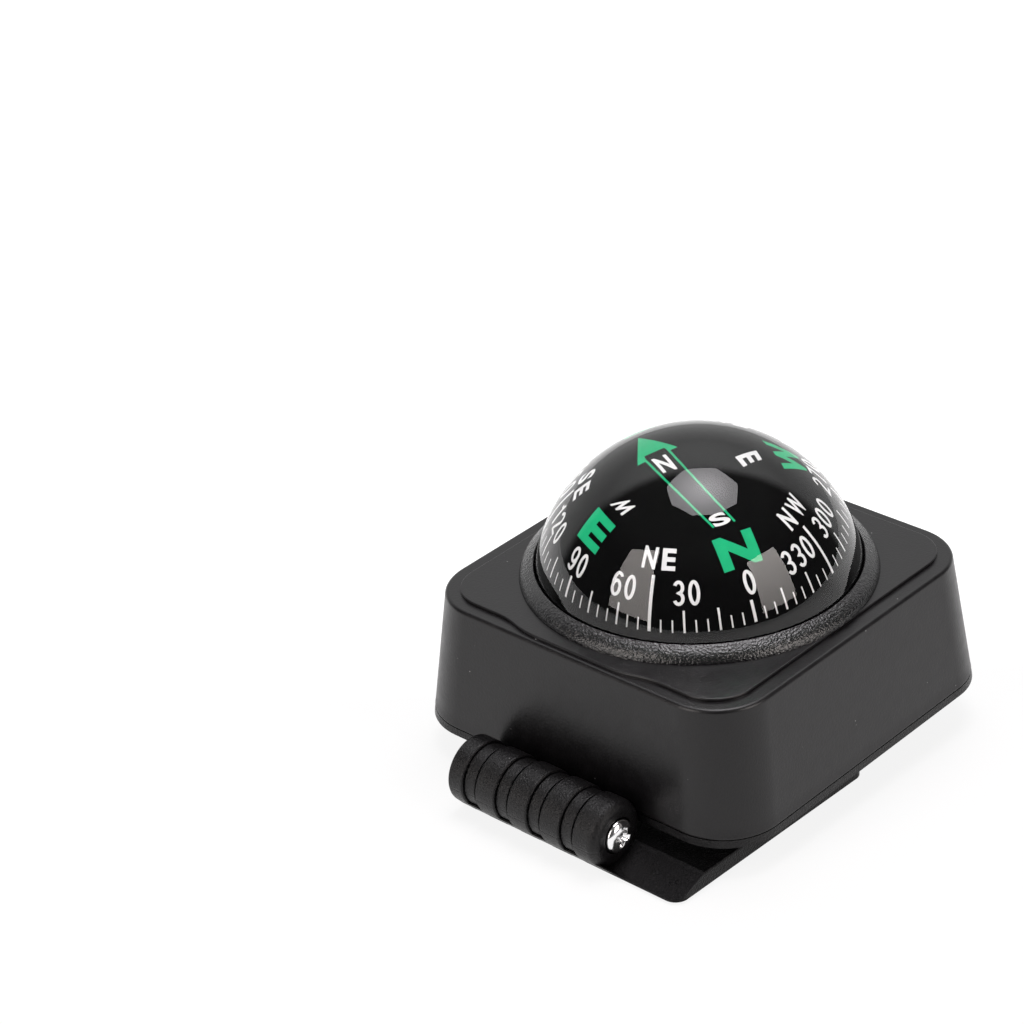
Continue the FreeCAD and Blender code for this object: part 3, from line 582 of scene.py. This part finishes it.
def clear_dome():
    """The clear dome: outer ball from its flange to the pole, and the inner ball back down. The
    inner ball gets the second material, and the flange's edges are sharp."""
    top = ROOF_UNDERSIDE
    bottom = top - FLANGE_THICKNESS
    inner = DOME_RADIUS - DOME_WALL
    low = latitude_at(bottom, inner)
    profile = [(inner * math.cos(math.radians(low)), bottom), (FLANGE_RADIUS, bottom), (FLANGE_RADIUS, top)]
    profile += meridian(DOME_RADIUS, latitude_at(top, DOME_RADIUS), 90, 110)
    profile += meridian(inner, 90, low, 60)[:-1]
    piece = spin_piece("dome_clear", profile, [CLEAR, CONTACT], "case", ["dome"], 360)
    middles = values_of(piece.data.polygons, "center", 3)
    inside = np.linalg.norm(middles - BALL_CENTER, axis=1) < inner + 0.3 * MM
    piece.data.polygons.foreach_set("material_index", inside.astype(int).tolist())
    out = np.linalg.norm(values_of(piece.data.vertices, "co", 3) - BALL_CENTER, axis=1)
    ends = out[values_of(piece.data.edges, "vertices", 2).astype(int)]
    for edge in np.flatnonzero(ends.min(1) > DOME_RADIUS + 0.5 * MM):
        piece.data.edges[edge].use_edge_sharp = True


def card_shell():
    """The black card: a thin ball shell, cut level at its hem."""
    inner = CARD_RADIUS - CARD_WALL
    hem = DOME_CENTER - CARD_SKIRT
    profile = meridian(CARD_RADIUS, latitude_at(hem, CARD_RADIUS), 90, 80)
    profile += meridian(inner, 90, latitude_at(hem, inner), 40)
    spin_piece("card_shell", profile, [CARD_BLACK], "card", ["card_float"], 240)


def bezel_trim():
    """The trim ring: bore along the dome, narrow brow, and an outer face that is a cubic arc, gently
    sloped at first and steep at its foot."""
    bottom = ROOF_UNDERSIDE + 0.2 * MM
    low, high = (latitude_at(height, BEZEL_BORE) for height in (bottom, PLATEAU_TOP + BEZEL_LIP_RISE))
    profile = [(BEZEL_SKIRT, PLATEAU_TOP), (BEZEL_SKIRT, bottom)] + meridian(BEZEL_BORE, low, high, 14)
    lip = profile[-1]
    brow, high_guide, low_guide, foot = (np.array(place) for place in BEZEL_CURVE)
    profile.append((lip[0] * 0.7 + brow[0] * 0.3, lip[1] * 0.3 + brow[1] * 0.7))
    t = np.linspace(0, 1, 36)[:, None]
    s = 1 - t
    face = brow * s ** 3 + high_guide * 3 * t * s ** 2 + low_guide * 3 * t ** 2 * s + foot * t ** 3
    profile += face.tolist()
    piece = spin_piece("bezel_trim", profile, [BEZEL_PLASTIC], "case", ["bezel_ring"], 360)
    sharpen(piece, 50)


# ---------------------------------------------------------------- printed scale

def dip_matrix():
    """The print's small tilt, about X and then about Y."""
    a, b = math.radians(SCALE_DIP_X), math.radians(SCALE_DIP_Y)
    about_x = np.array([[1, 0, 0], [0, math.cos(a), -math.sin(a)], [0, math.sin(a), math.cos(a)]])
    about_y = np.array([[math.cos(b), 0, math.sin(b)], [0, 1, 0], [-math.sin(b), 0, math.cos(b)]])
    return about_y @ about_x


def toward(azimuth, latitude):
    """The unit direction, before the tilt, of a place on the card."""
    g, t = math.radians(SCALE_TURN + azimuth), math.radians(latitude)
    return np.array([-math.sin(g) * math.cos(t), -math.cos(g) * math.cos(t), math.sin(t)])


def on_card(flat, azimuth, latitude):
    """Wraps flat points (x right, y up, metres) on the card about a place, keeping their distance
    and direction from it."""
    x, y = flat[:, 0], flat[:, 1]
    out = toward(azimuth, latitude)
    up = toward(azimuth, latitude + 90)
    right = np.cross(up, out)
    far = np.hypot(x, y)
    angle = far / CARD_RADIUS
    safe = np.maximum(far, 1e-12)
    side = (x / safe)[:, None] * right + (y / safe)[:, None] * up
    points = np.cos(angle)[:, None] * out + np.sin(angle)[:, None] * side
    return set_on_card(points)


def set_on_card(directions):
    """Points just off the card in the given directions, after its dip."""
    return in_case(directions @ dip_matrix().T * (CARD_RADIUS + PRINT_LIFT) + np.array([0, 0, DOME_CENTER]))


def sliced(mesh, step):
    """Cuts a flat mesh along a grid, so that it can be bent."""
    work = bmesh.new()
    work.from_mesh(mesh)
    for axis in (0, 1):
        values = [v.co[axis] for v in work.verts]
        cut = math.floor(min(values) / step) * step
        while cut < max(values):
            normal = (1, 0, 0) if axis == 0 else (0, 1, 0)
            place = (cut, 0, 0) if axis == 0 else (0, cut, 0)
            bmesh.ops.bisect_plane(work, geom=work.verts[:] + work.edges[:] + work.faces[:],
                                   plane_co=place, plane_no=normal, dist=1e-8)
            cut += step
    bmesh.ops.triangulate(work, faces=work.faces)
    work.verts.ensure_lookup_table()
    points = np.array([tuple(v.co) for v in work.verts])
    faces = [tuple(v.index for v in f.verts) for f in work.faces]
    work.free()
    return points, faces


def glyphs(text, width, height, bold):
    """A text's flat mesh about its centre, stretched to a width and height in metres."""
    curve = bpy.data.curves.new("glyphs", "FONT")
    curve.body = text
    curve.size = 1.0
    curve.offset = bold
    curve.resolution_u = 6
    holder = bpy.data.objects.new("glyphs", curve)
    bpy.context.scene.collection.objects.link(holder)
    bpy.context.view_layer.update()
    mesh = bpy.data.meshes.new_from_object(holder)
    bpy.data.objects.remove(holder)
    bpy.data.curves.remove(curve)
    flat = values_of(mesh.vertices, "co", 3).astype(float)
    low, high = flat.min(0), flat.max(0)
    stretch = np.array([width / (high[0] - low[0]), height / (high[1] - low[1]), 1])
    flat = (flat - (low + high) / 2) * stretch
    mesh.vertices.foreach_set("co", flat.astype(np.float32).ravel())
    points, faces = sliced(mesh, 0.45 * MM)
    bpy.data.meshes.remove(mesh)
    return points, faces


def oval(cx, cy, rx, ry, start, end, steps):
    """Places along an oval's arc, its angles in degrees."""
    angles = np.radians(np.linspace(start, end, steps))
    return [(cx + rx * math.cos(a), cy + ry * math.sin(a)) for a in angles]


# Centre lines of the drawn digits, in a box one high and DIGIT_ASPECT wide, about its centre.
DIGIT_ASPECT = 0.47
DIGIT_STROKE = 0.135
RX, RY = (DIGIT_ASPECT - DIGIT_STROKE) / 2, (1 - DIGIT_STROKE) / 2
HALF = RY / 2
DIGITS = {
    "0": [oval(0, 0, RX, RY, 0, 360, 41)],
    "1": [[(0.05, -0.5), (0.05, 0.5)], [(0.05, 0.36), (-0.03, 0.30), (-0.16, 0.27)]],
    "2": [oval(0, HALF * 1.02, RX, HALF * 0.98, 168, -38, 22)
          + [(-RX, -RY + 0.02), (-RX, -RY), (RX + 0.06, -RY)]],
    "3": [oval(-0.005, HALF, RX * 0.94, HALF, 158, -90, 26)[:-1] + oval(0, -HALF, RX, HALF, 90, -158, 26)],
    "4": [[(0.10, -0.5), (0.10, 0.43), (-RX - 0.02, -0.16), (RX + 0.06, -0.16)]],
    "5": [[(RX, RY), (-RX + 0.05, RY), (-RX, 0.02)], oval(0, -0.15, RX, RY - 0.15, 140, -155, 30)],
    "6": [oval(0, -0.155, RX, RY - 0.155, 0, 360, 33),
          oval(0, 0, RX, RY, 182, 90, 16) + oval(0, RY - 0.15, RX * 0.97, 0.15, 90, 12, 10)[1:]],
    "7": [[(-RX - 0.03, RY), (RX, RY), (RX * 0.45, 0.10), (-RX * 0.25, -0.5)]],
    "8": [oval(0, HALF * 1.06, RX * 0.92, HALF * 0.94, 0, 360, 33),
          oval(0, -HALF * 0.94, RX, HALF * 1.06, 0, 360, 33)],
}
DIGITS["9"] = [[(-x, -y) for x, y in line] for line in DIGITS["6"]]


def digit(figure, wide, tall):
    """A digit's flat mesh: every centre line widened to the stroke, in metres."""
    points, faces = [], []
    for line in DIGITS[figure]:
        line = np.array(line) * (wide / DIGIT_ASPECT, tall)
        closed = np.hypot(*(line[0] - line[-1])) < 1e-9
        lengths = np.r_[0, np.cumsum(np.hypot(*np.diff(line, axis=0).T))]
        even = np.linspace(0, lengths[-1], max(2, int(lengths[-1] / (0.25 * MM)) + 1))
        along = np.unique(np.r_[even, lengths])
        line = np.stack([np.interp(along, lengths, line[:, k]) for k in (0, 1)], 1)
        steps = np.diff(line, axis=0)
        steps /= np.hypot(*steps.T)[:, None]
        before = np.vstack([steps[-1:] if closed else steps[:1], steps])
        after = np.vstack([steps, steps[:1] if closed else steps[-1:]])
        ahead = before + after
        ahead /= np.hypot(*ahead.T)[:, None]
        reach = DIGIT_STROKE * tall / 2 / np.clip((ahead * after).sum(1), 0.6, 1)
        side = np.stack([-ahead[:, 1], ahead[:, 0]], 1) * reach[:, None]
        start = sum(len(part) for part in points)
        points.append(np.stack([line - side, line + side], 1).reshape(-1, 2))
        faces += [tuple(start + 2 * i + k for k in (0, 1, 3, 2)) for i in range(len(line) - 1)]
    return np.concatenate(points), faces


def strip(width, low, high, steps):
    """A flat upright bar from one height to another."""
    ys = np.linspace(low, high, steps + 1)
    points = [(side * width / 2, y) for y in ys for side in (-1, 1)]
    faces = [(2 * i, 2 * i + 1, 2 * i + 3, 2 * i + 2) for i in range(steps)]
    return np.array(points), faces


def polygon(points, step=0.5 * MM):
    """A flat polygon, cut along a grid."""
    mesh = bpy.data.meshes.new("polygon")
    mesh.from_pydata([(x, y, 0) for x, y in points], [], [tuple(range(len(points)))])
    flat, faces = sliced(mesh, step)
    bpy.data.meshes.remove(mesh)
    return flat, faces


class Print:
    """Collects the marks of one ink, laid on the card."""

    def __init__(self):
        self.points, self.faces, self.count = [], [], 0

    def add_points(self, points, faces):
        """Adds a patch whose points are already on the card."""
        self.faces += [tuple(self.count + i for i in face) for face in faces]
        self.points.append(points)
        self.count += len(points)

    def add(self, flat, faces, azimuth, latitude):
        """Adds a flat patch, wrapped on the card about a place."""
        self.add_points(on_card(flat[:, :2], azimuth, latitude), faces)

    def add_polar(self, places, faces):
        """Adds points given in degrees towards 0 and towards 90 from the pole."""
        away = np.radians(np.hypot(places[:, 0], places[:, 1]))
        g = np.radians(SCALE_TURN) + np.arctan2(places[:, 1], places[:, 0])
        out = np.stack([-np.sin(g) * np.sin(away), -np.cos(g) * np.sin(away), np.cos(away)], 1)
        self.add_points(set_on_card(out), faces)

    def finish(self, name, ink):
        """Makes the piece, its faces outward."""
        piece = new_piece(name, np.concatenate(self.points), self.faces, [ink], "card", ())
        out = values_of(piece.data.polygons, "center", 3) - BALL_CENTER
        inward = np.flatnonzero((out * values_of(piece.data.polygons, "normal", 3)).sum(1) < 0)
        work = bmesh.new()
        work.from_mesh(piece.data)
        work.faces.ensure_lookup_table()
        bmesh.ops.reverse_faces(work, faces=[work.faces[i] for i in inward])
        work.to_mesh(piece.data)
        work.free()


# One degree on the card. The sizes below are in degrees on the card, tick widths in millimetres.
ARC = CARD_RADIUS * math.pi / 180
TICK_FOOT, MINOR_TOP, MAJOR_TOP, LONG_TOP = 14.7, 19.9, 23.8, 37.4
MINOR_WIDTH, MAJOR_WIDTH, QUARTER_WIDTH, LONG_WIDTH = 0.24, 0.33, 0.46, 0.50
NUMBER_LATITUDE, NUMBER_HEIGHT, DIGIT_WIDTH, DIGIT_STEP = 30.8, 10.1, 4.75, 6.2
# How far each number stands clockwise of its mark and above the others, where not 1.5 and 0.
NUDGES = {60: (0.5, 0.0), 90: (0.2, -0.8), 120: (-0.9, -1.6)}
# The letters of the directions between: azimuth and latitude.
MINOR_PLACES = {"NE": (44.0, 44.1), "SE": (135.5, 42.9), "SW": (224.0, 42.0), "NW": (314.0, 44.1)}
LETTER_WIDTHS = {"N": 5.8, "S": 5.6, "E": 5.6, "W": 8.2}
LETTER_HEIGHT, LETTER_LATITUDE, LETTER_NUDGE = 9.0, 44.1, 0.8
# The big green letters: azimuth, latitude, width and height.
BIG_LETTERS = {
    "N": (-1.5, 44.4, 16.4, 14.0), "E": (91.0, 44.4, 14.6, 14.0),
    "S": (180.0, 41.5, 12.6, 10.2), "W": (265.5, 44.4, 18.3, 14.0),
}
# The inner circle of letters: corners from the top left round to the bottom left, in degrees from
# the pole towards 0 and towards 90.
INNER_LETTERS = {
    "N": ((-11.50, 10.56), (-10.51, 4.69), (1.12, 5.00), (-0.16, 10.72)),
    "S": ((28.61, 5.75), (28.45, -1.86), (33.95, -3.78), (34.30, 4.03)),
    "E": ((-2.6, -30.2), (3.8, -30.1), (8.9, -19.7), (2.5, -18.8)),
    "W": ((-4.5, 34.6), (5.6, 33.9), (9.45, 27.25), (-0.65, 27.95)),
}


def print_scale():
    """All the white and green marks of the card."""
    white, green = Print(), Print()
    for azimuth in range(0, 360, 5):
        if azimuth % 90 == 45:
            top, width = LONG_TOP, LONG_WIDTH
        elif azimuth % 15 == 0:
            top, width = MAJOR_TOP, QUARTER_WIDTH if azimuth % 90 == 0 else MAJOR_WIDTH
        else:
            top, width = MINOR_TOP, MINOR_WIDTH
        middle = (TICK_FOOT + top) / 2
        half = (top - TICK_FOOT) / 2 * ARC
        flat, faces = strip(width * MM, -half, half, 6)
        white.add(flat, faces, azimuth, middle)
    for azimuth in range(0, 360, 30):
        text = str(azimuth)
        around, above = NUDGES.get(azimuth, (1.5, 0.0))
        widths = [DIGIT_STEP * (0.72 if figure == "1" else 1.0) for figure in text]
        place = -sum(widths) / 2
        for figure, width in zip(text, widths):
            flat, faces = digit(figure, DIGIT_WIDTH * ARC, NUMBER_HEIGHT * ARC)
            shift = (place + width / 2) / math.cos(math.radians(NUMBER_LATITUDE))
            white.add(flat, faces, azimuth - shift - around, NUMBER_LATITUDE + above)
            place += width
    for text, (azimuth, latitude) in MINOR_PLACES.items():
        step = 9.2 if "W" in text else 7.9
        for index, letter in enumerate(text):
            flat, faces = glyphs(letter, LETTER_WIDTHS[letter] * ARC, LETTER_HEIGHT * ARC, 0.034)
            shift = (index - 0.5) * step / math.cos(math.radians(LETTER_LATITUDE))
            white.add(flat, faces, azimuth - LETTER_NUDGE - shift, latitude)
    for letter, (azimuth, latitude, wide, tall) in BIG_LETTERS.items():
        flat, faces = glyphs(letter, wide * 1.04 * ARC, tall * ARC, 0.05)
        green.add(flat, faces, azimuth, latitude)
    for letter, corners in INNER_LETTERS.items():
        polar_letter(white, letter, corners, 0.035)
    arrow(green)
    white.finish("scale_white", PRINT_WHITE)
    green.finish("scale_green", PRINT_GREEN)


def polar_letter(ink, letter, corners, bold):
    """Sets a letter between four places about the pole (top left, top right, bottom right, bottom
    left), each given in degrees towards 0 and towards 90."""
    flat, faces = glyphs(letter, 6 * ARC, 6 * ARC, bold)
    x, y = flat[:, :1] / (6 * ARC) + 0.5, flat[:, 1:2] / (6 * ARC) + 0.5
    tl, tr, br, bl = (np.array(c, float) for c in corners)
    ink.add_polar((tl * (1 - x) + tr * x) * y + (bl * (1 - x) + br * x) * (1 - y), faces)


def polar_line(ink, places, width):
    """A thin line through places about the pole."""
    places = np.array(places, float)
    fine = np.linspace(0, len(places) - 1, 12 * len(places))
    places = np.stack([np.interp(fine, np.arange(len(places)), places[:, k]) for k in (0, 1)], 1)
    ahead = np.gradient(places, axis=0)
    side = np.stack([-ahead[:, 1], ahead[:, 0]], 1) / np.hypot(*ahead.T)[:, None] * width / 2 / ARC
    points = np.stack([places - side, places + side], 1).reshape(-1, 2)
    ink.add_polar(points, [(2 * i, 2 * i + 1, 2 * i + 3, 2 * i + 2) for i in range(len(places) - 1)])


def arrow(ink):
    """The arrow's head and its two shaft lines."""
    head = [(-35.44, 5.03), (-28.46, 3.80), (-22.42, 2.23), (-16.99, 0.46), (-12.18, -1.32), (-11.80, 2.41),
            (-15.40, 3.10), (-15.54, 7.14), (-16.12, 11.30), (-12.07, 12.18), (-12.75, 16.00), (-21.70, 11.59)]
    flat, faces = polygon([(x * ARC, y * ARC) for x, y in head])
    ink.add_polar(flat[:, :2] / ARC, faces)
    left = [(-13.4, 12.3), (-4.08, 12.35), (3.64, 11.86), (10.56, 11.01), (16.92, 9.86),
            (22.86, 8.45), (28.47, 6.79), (33.81, 4.89)]
    right = [(-13.9, 2.4), (-4.30, 2.65), (3.58, 2.29), (10.61, 1.52), (17.04, 0.41),
             (23.03, -1.00), (28.67, -2.69), (34.03, -4.67)]
    for line in (left, right):
        polar_line(ink, line, 0.34 * MM)


# The hinge screw, along X. Its recess is a cross of two arms, turned a little about X.
SCREW_END, SCREW_SHANK, SCREW_SEAT = -20.4 * MM, 1.5 * MM, 7.68 * MM
HEAD_RADIUS, HEAD_HEIGHT, HEAD_UNDERCUT = 2.85 * MM, 2.3 * MM, 2.7 * MM
RECESS_TURN, RECESS_DEPTH = 0.35, 0.95 * MM
ARM_HALF, ARM_EDGE, ARM_REACH, ARM_RUNOUT = 0.42 * MM, 0.22 * MM, 1.75 * MM, 0.9 * MM


def recess_arm(across, along):
    """An arm's depth, from 0 to 1, at a place across and along it."""
    side = np.clip((ARM_HALF - np.abs(across)) / ARM_EDGE + 0.5, 0, 1)
    return side * np.clip((ARM_REACH - np.abs(along)) / ARM_RUNOUT, 0, 1)


def hinge_screw_head():
    """The chrome screw: a shank and a domed head along X whose face sinks in a cross, its depth
    falling off smoothly across each arm and towards the arms' ends. Each row is a circle about X:
    the place along X of each of its points, and its radius."""
    turns, rings = 192, 72
    angle = np.linspace(0, 2 * math.pi, turns, endpoint=False)
    circles = [(SCREW_END, 0.0), (SCREW_END, 1.3 * MM), (SCREW_END + 0.2 * MM, SCREW_SHANK)]
    circles += [(SCREW_SEAT, SCREW_SHANK), (SCREW_SEAT, HEAD_UNDERCUT)]
    circles += [(SCREW_SEAT + share * HEAD_HEIGHT, HEAD_RADIUS) for share in (0.15, 0.5)]
    rows = [(np.full(turns, x), r) for x, r in circles]
    for share in np.linspace(1, 0, rings):
        r = HEAD_RADIUS * share
        rise = HEAD_HEIGHT * (0.5 + 0.5 * math.sqrt(max(0.0, 1 - share ** 2.2)))
        y, z = r * np.cos(angle + RECESS_TURN), r * np.sin(angle + RECESS_TURN)
        sunk = RECESS_DEPTH * np.maximum(recess_arm(z, y), recess_arm(y, z))
        rows.append((SCREW_SEAT + rise - sunk, r))
    points = np.array([np.column_stack([x, HINGE[1:] + r * circle(turns)]) for x, r in rows])
    faces = ring_faces(len(rows), turns, False)
    points = points.reshape(-1, 3)
    piece = new_piece("screw_head", points, faces, [CHROME], "base", ["hinge_screw"])
    weld(piece)
    sharpen(piece, 40)


def front_lip():
    """The plate's lip below the barrel: a bar between the front edge and the barrel's underside,
    which fades into the border past the barrel's end. Its section shrinks towards the plate's
    front edge by the share that each station along X gives."""
    inner = 5.5 * MM
    under = np.radians(np.linspace(-138, -90, 9))
    section = np.array([(HINGE[1], 0.42 * MM), (-27.33 * MM, 0.42 * MM), (-29.06 * MM, 2.32 * MM)])
    section = np.vstack([section, HINGE[1:] + inner * np.column_stack([np.cos(under), np.sin(under)])])
    edge = np.array([-27.2 * MM, 0.55 * MM])
    stations = [(-22.9, 1.0), (7.6, 1.0), (8.6, 0.86), (9.8, 0.55), (11.2, 0.25), (13.0, 0.05)]
    count, last = len(section), (len(stations) - 1) * len(section)
    rows = [np.column_stack([np.full(count, x * MM), edge + (section - edge) * share])
            for x, share in stations]
    faces = ring_faces(len(stations), count, False)
    faces += [tuple(range(count)), tuple(range(last, last + count))]
    piece = new_piece("front_lip", np.concatenate(rows), faces, [HINGE_PLASTIC], "base", ())
    weld(piece)
    sharpen(piece, 30)


clear_dome()
card_shell()
bezel_trim()
case_shell()
print_scale()
hinge_screw_head()
front_lip()


# ---------------------------------------------------------------- camera, lights and floor

def make_camera():
    """The photograph's camera."""
    a, e, r = (math.radians(x) for x in (CAMERA_AZIMUTH, CAMERA_ELEVATION, CAMERA_ROLL))
    back = np.array([math.sin(a) * math.cos(e), -math.cos(a) * math.cos(e), math.sin(e)])
    right = np.array([math.cos(a), math.sin(a), 0])
    up = np.cross(back, right)
    rolled_right = math.cos(r) * right + math.sin(r) * up
    rolled_up = -math.sin(r) * right + math.cos(r) * up
    eye = back * CAMERA_RANGE - rolled_right * CAMERA_RIGHT - rolled_up * CAMERA_UP
    eye += np.array([0, 0, CAMERA_BASE])
    turn = lean_matrix() @ np.array([rolled_right, rolled_up, back]).T
    data = bpy.data.cameras.new("camera")
    data.lens = CAMERA_LENS
    data.sensor_width = SENSOR
    data.clip_start = 0.01
    camera = bpy.data.objects.new("camera", data)
    bpy.context.scene.collection.objects.link(camera)
    camera.matrix_world = Matrix.Translation(Vector(in_case([eye])[0])) @ Matrix(turn.tolist()).to_4x4()
    bpy.context.scene.camera = camera


def look_from(azimuth, elevation):
    """The unit direction towards an azimuth (0 is -Y, 90 is +X) and elevation, tilted with the case."""
    a, e = math.radians(azimuth), math.radians(elevation)
    return lean_matrix() @ np.array([math.sin(a) * math.cos(e), -math.cos(a) * math.cos(e), math.sin(e)])


def glowing(name, points, faces, strength, colour):
    """An emitting plate that lights and mirrors, but isn't seen by the camera."""
    mesh = bpy.data.meshes.new(name)
    mesh.from_pydata([tuple(p) for p in points], [], faces)
    made, nodes, links, shader = material(name + "_glow")
    nodes.remove(shader)
    glow = nodes.new("ShaderNodeEmission")
    glow.inputs["Color"].default_value = (*colour, 1)
    links.new(strength(nodes, links), glow.inputs["Strength"])
    links.new(glow.outputs["Emission"], nodes["Material Output"].inputs["Surface"])
    mesh.materials.append(made)
    plate = bpy.data.objects.new(name, mesh)
    bpy.context.scene.collection.objects.link(plate)
    plate.visible_camera = False


def window_light(name, corners, low, high, distance=0.75):
    """A softbox between four directions (azimuth and elevation, as seen from the dome), brighter
    towards its top."""
    points = [BALL_CENTER + look_from(*corner) * distance for corner in corners]
    heights = [p[2] for p in points]

    def strength(nodes, links):
        place = nodes.new("ShaderNodeTexCoord")
        split = nodes.new("ShaderNodeSeparateXYZ")
        links.new(place.outputs["Object"], split.inputs["Vector"])
        return ramp(nodes, links, split.outputs["Z"], min(heights), max(heights), low, high)

    glowing(name, points, [(0, 1, 2, 3)], strength, (1.0, 0.935, 0.90))


def octagon_light(direction, half_angle, edge_radiance, middle_radiance, distance=0.7):
    """The overhead octagonal softbox, brighter towards its middle, not seen by the camera."""
    direction = lean_matrix() @ (np.array(direction) / np.linalg.norm(direction))
    radius = distance * math.tan(math.radians(half_angle))
    side = look_from(CAMERA_AZIMUTH + 90, 0)
    side = side - direction * (side @ direction)
    side /= np.linalg.norm(side)
    other = np.cross(direction, side)
    middle = BALL_CENTER + direction * distance
    angles = np.radians(np.arange(8) * 45 + 22.5)
    points = [middle + radius * (math.cos(a) * side + math.sin(a) * other) for a in angles]

    def strength(nodes, links):
        place = nodes.new("ShaderNodeTexCoord")
        far = nodes.new("ShaderNodeVectorMath")
        far.operation = "DISTANCE"
        far.inputs[1].default_value = tuple(middle)
        links.new(place.outputs["Object"], far.inputs[0])
        return ramp(nodes, links, far.outputs["Value"], 0.0, radius * 0.8, middle_radiance, edge_radiance)

    glowing("softbox", points, [tuple(range(8))], strength, (1.0, 0.97, 1.0))


def studio_world():
    """White to the camera. For reflections and light, a bright backdrop behind the object up to
    nearly overhead, and a dim room in front of it."""
    world = bpy.data.worlds.new("studio")
    bpy.context.scene.world = world
    world.use_nodes = True
    nodes, links = world.node_tree.nodes, world.node_tree.links
    room = nodes["Background"]
    away = look_from(CAMERA_AZIMUTH + 180, 0)
    place = nodes.new("ShaderNodeTexCoord")
    side = nodes.new("ShaderNodeVectorMath")
    side.operation = "DOT_PRODUCT"
    side.inputs[1].default_value = tuple(away)
    links.new(place.outputs["Generated"], side.inputs[0])
    level = nodes.new("ShaderNodeMapRange")
    level.interpolation_type = "SMOOTHSTEP"
    for key, value in {"From Min": 0.39, "From Max": 0.55, "To Min": 0.11, "To Max": 1.0}.items():
        level.inputs[key].default_value = value
    links.new(side.outputs["Value"], level.inputs["Value"])
    room.inputs["Color"].default_value = (1, 1, 1, 1)
    height = nodes.new("ShaderNodeSeparateXYZ")
    links.new(place.outputs["Generated"], height.inputs["Vector"])
    climb = ramp(nodes, links, height.outputs["Z"], 0.5, 0.8, 0.72, 1.35)
    links.new(combined(nodes, links, level.outputs["Result"], climb), room.inputs["Strength"])
    paper = nodes.new("ShaderNodeBackground")
    paper.inputs["Color"].default_value = (1, 1, 1, 1)
    path = nodes.new("ShaderNodeLightPath")
    mix = nodes.new("ShaderNodeMixShader")
    links.new(path.outputs["Is Camera Ray"], mix.inputs["Fac"])
    links.new(room.outputs["Background"], mix.inputs[1])
    links.new(paper.outputs["Background"], mix.inputs[2])
    links.new(mix.outputs["Shader"], nodes["World Output"].inputs["Surface"])
    bpy.context.scene.view_settings.view_transform = "Standard"


def make_floor():
    """A plain white floor that keeps the object's shadow. Part of its light is its own, more of it
    behind the object, and more of it for the camera than for the object."""
    mesh = bpy.data.meshes.new("floor")
    half = 3.0
    corners = [(-half, -half, 0), (half, -half, 0), (half, half, 0), (-half, half, 0)]
    mesh.from_pydata(corners, [], [(0, 1, 2, 3)])
    made, nodes, links, shader = material("floor_paper")
    shader.inputs["Base Color"].default_value = (0.9, 0.9, 0.9, 1)
    shader.inputs["Roughness"].default_value = 0.9
    shader.inputs["Specular IOR Level"].default_value = 0.0
    glow = nodes.new("ShaderNodeEmission")
    path = nodes.new("ShaderNodeLightPath")
    share = ramp(nodes, links, path.outputs["Is Camera Ray"], 0.0, 1.0, 0.6, 0.86)
    mix = nodes.new("ShaderNodeMixShader")
    place = nodes.new("ShaderNodeTexCoord")
    behind = nodes.new("ShaderNodeVectorMath")
    behind.operation = "DOT_PRODUCT"
    behind.inputs[1].default_value = tuple(look_from(CAMERA_AZIMUTH + 180, 0))
    links.new(place.outputs["Object"], behind.inputs[0])
    links.new(ramp(nodes, links, behind.outputs["Value"], 0.03, 0.12, 1.0, 1.75), glow.inputs["Strength"])
    links.new(share, mix.inputs["Fac"])
    links.new(shader.outputs["BSDF"], mix.inputs[1])
    links.new(glow.outputs["Emission"], mix.inputs[2])
    links.new(mix.outputs["Shader"], nodes["Material Output"].inputs["Surface"])
    mesh.materials.append(made)
    floor = bpy.data.objects.new("floor", mesh)
    bpy.context.scene.collection.objects.link(floor)


make_camera()
studio_world()
octagon_light((-0.05, 0.157, 0.95), half_angle=20.5, edge_radiance=5.0, middle_radiance=10.0)
window_light("window_left", [(-25.7, 41.6), (0.0, 50.1), (6.0, 4.5), (-23.4, 5.2)], low=3.6, high=5.2)
window_light("window_right", [(82.6, 39.4), (111.0, 36.8), (108.1, 5.5), (81.8, 5.7)], low=3.2, high=7.0)
make_floor()
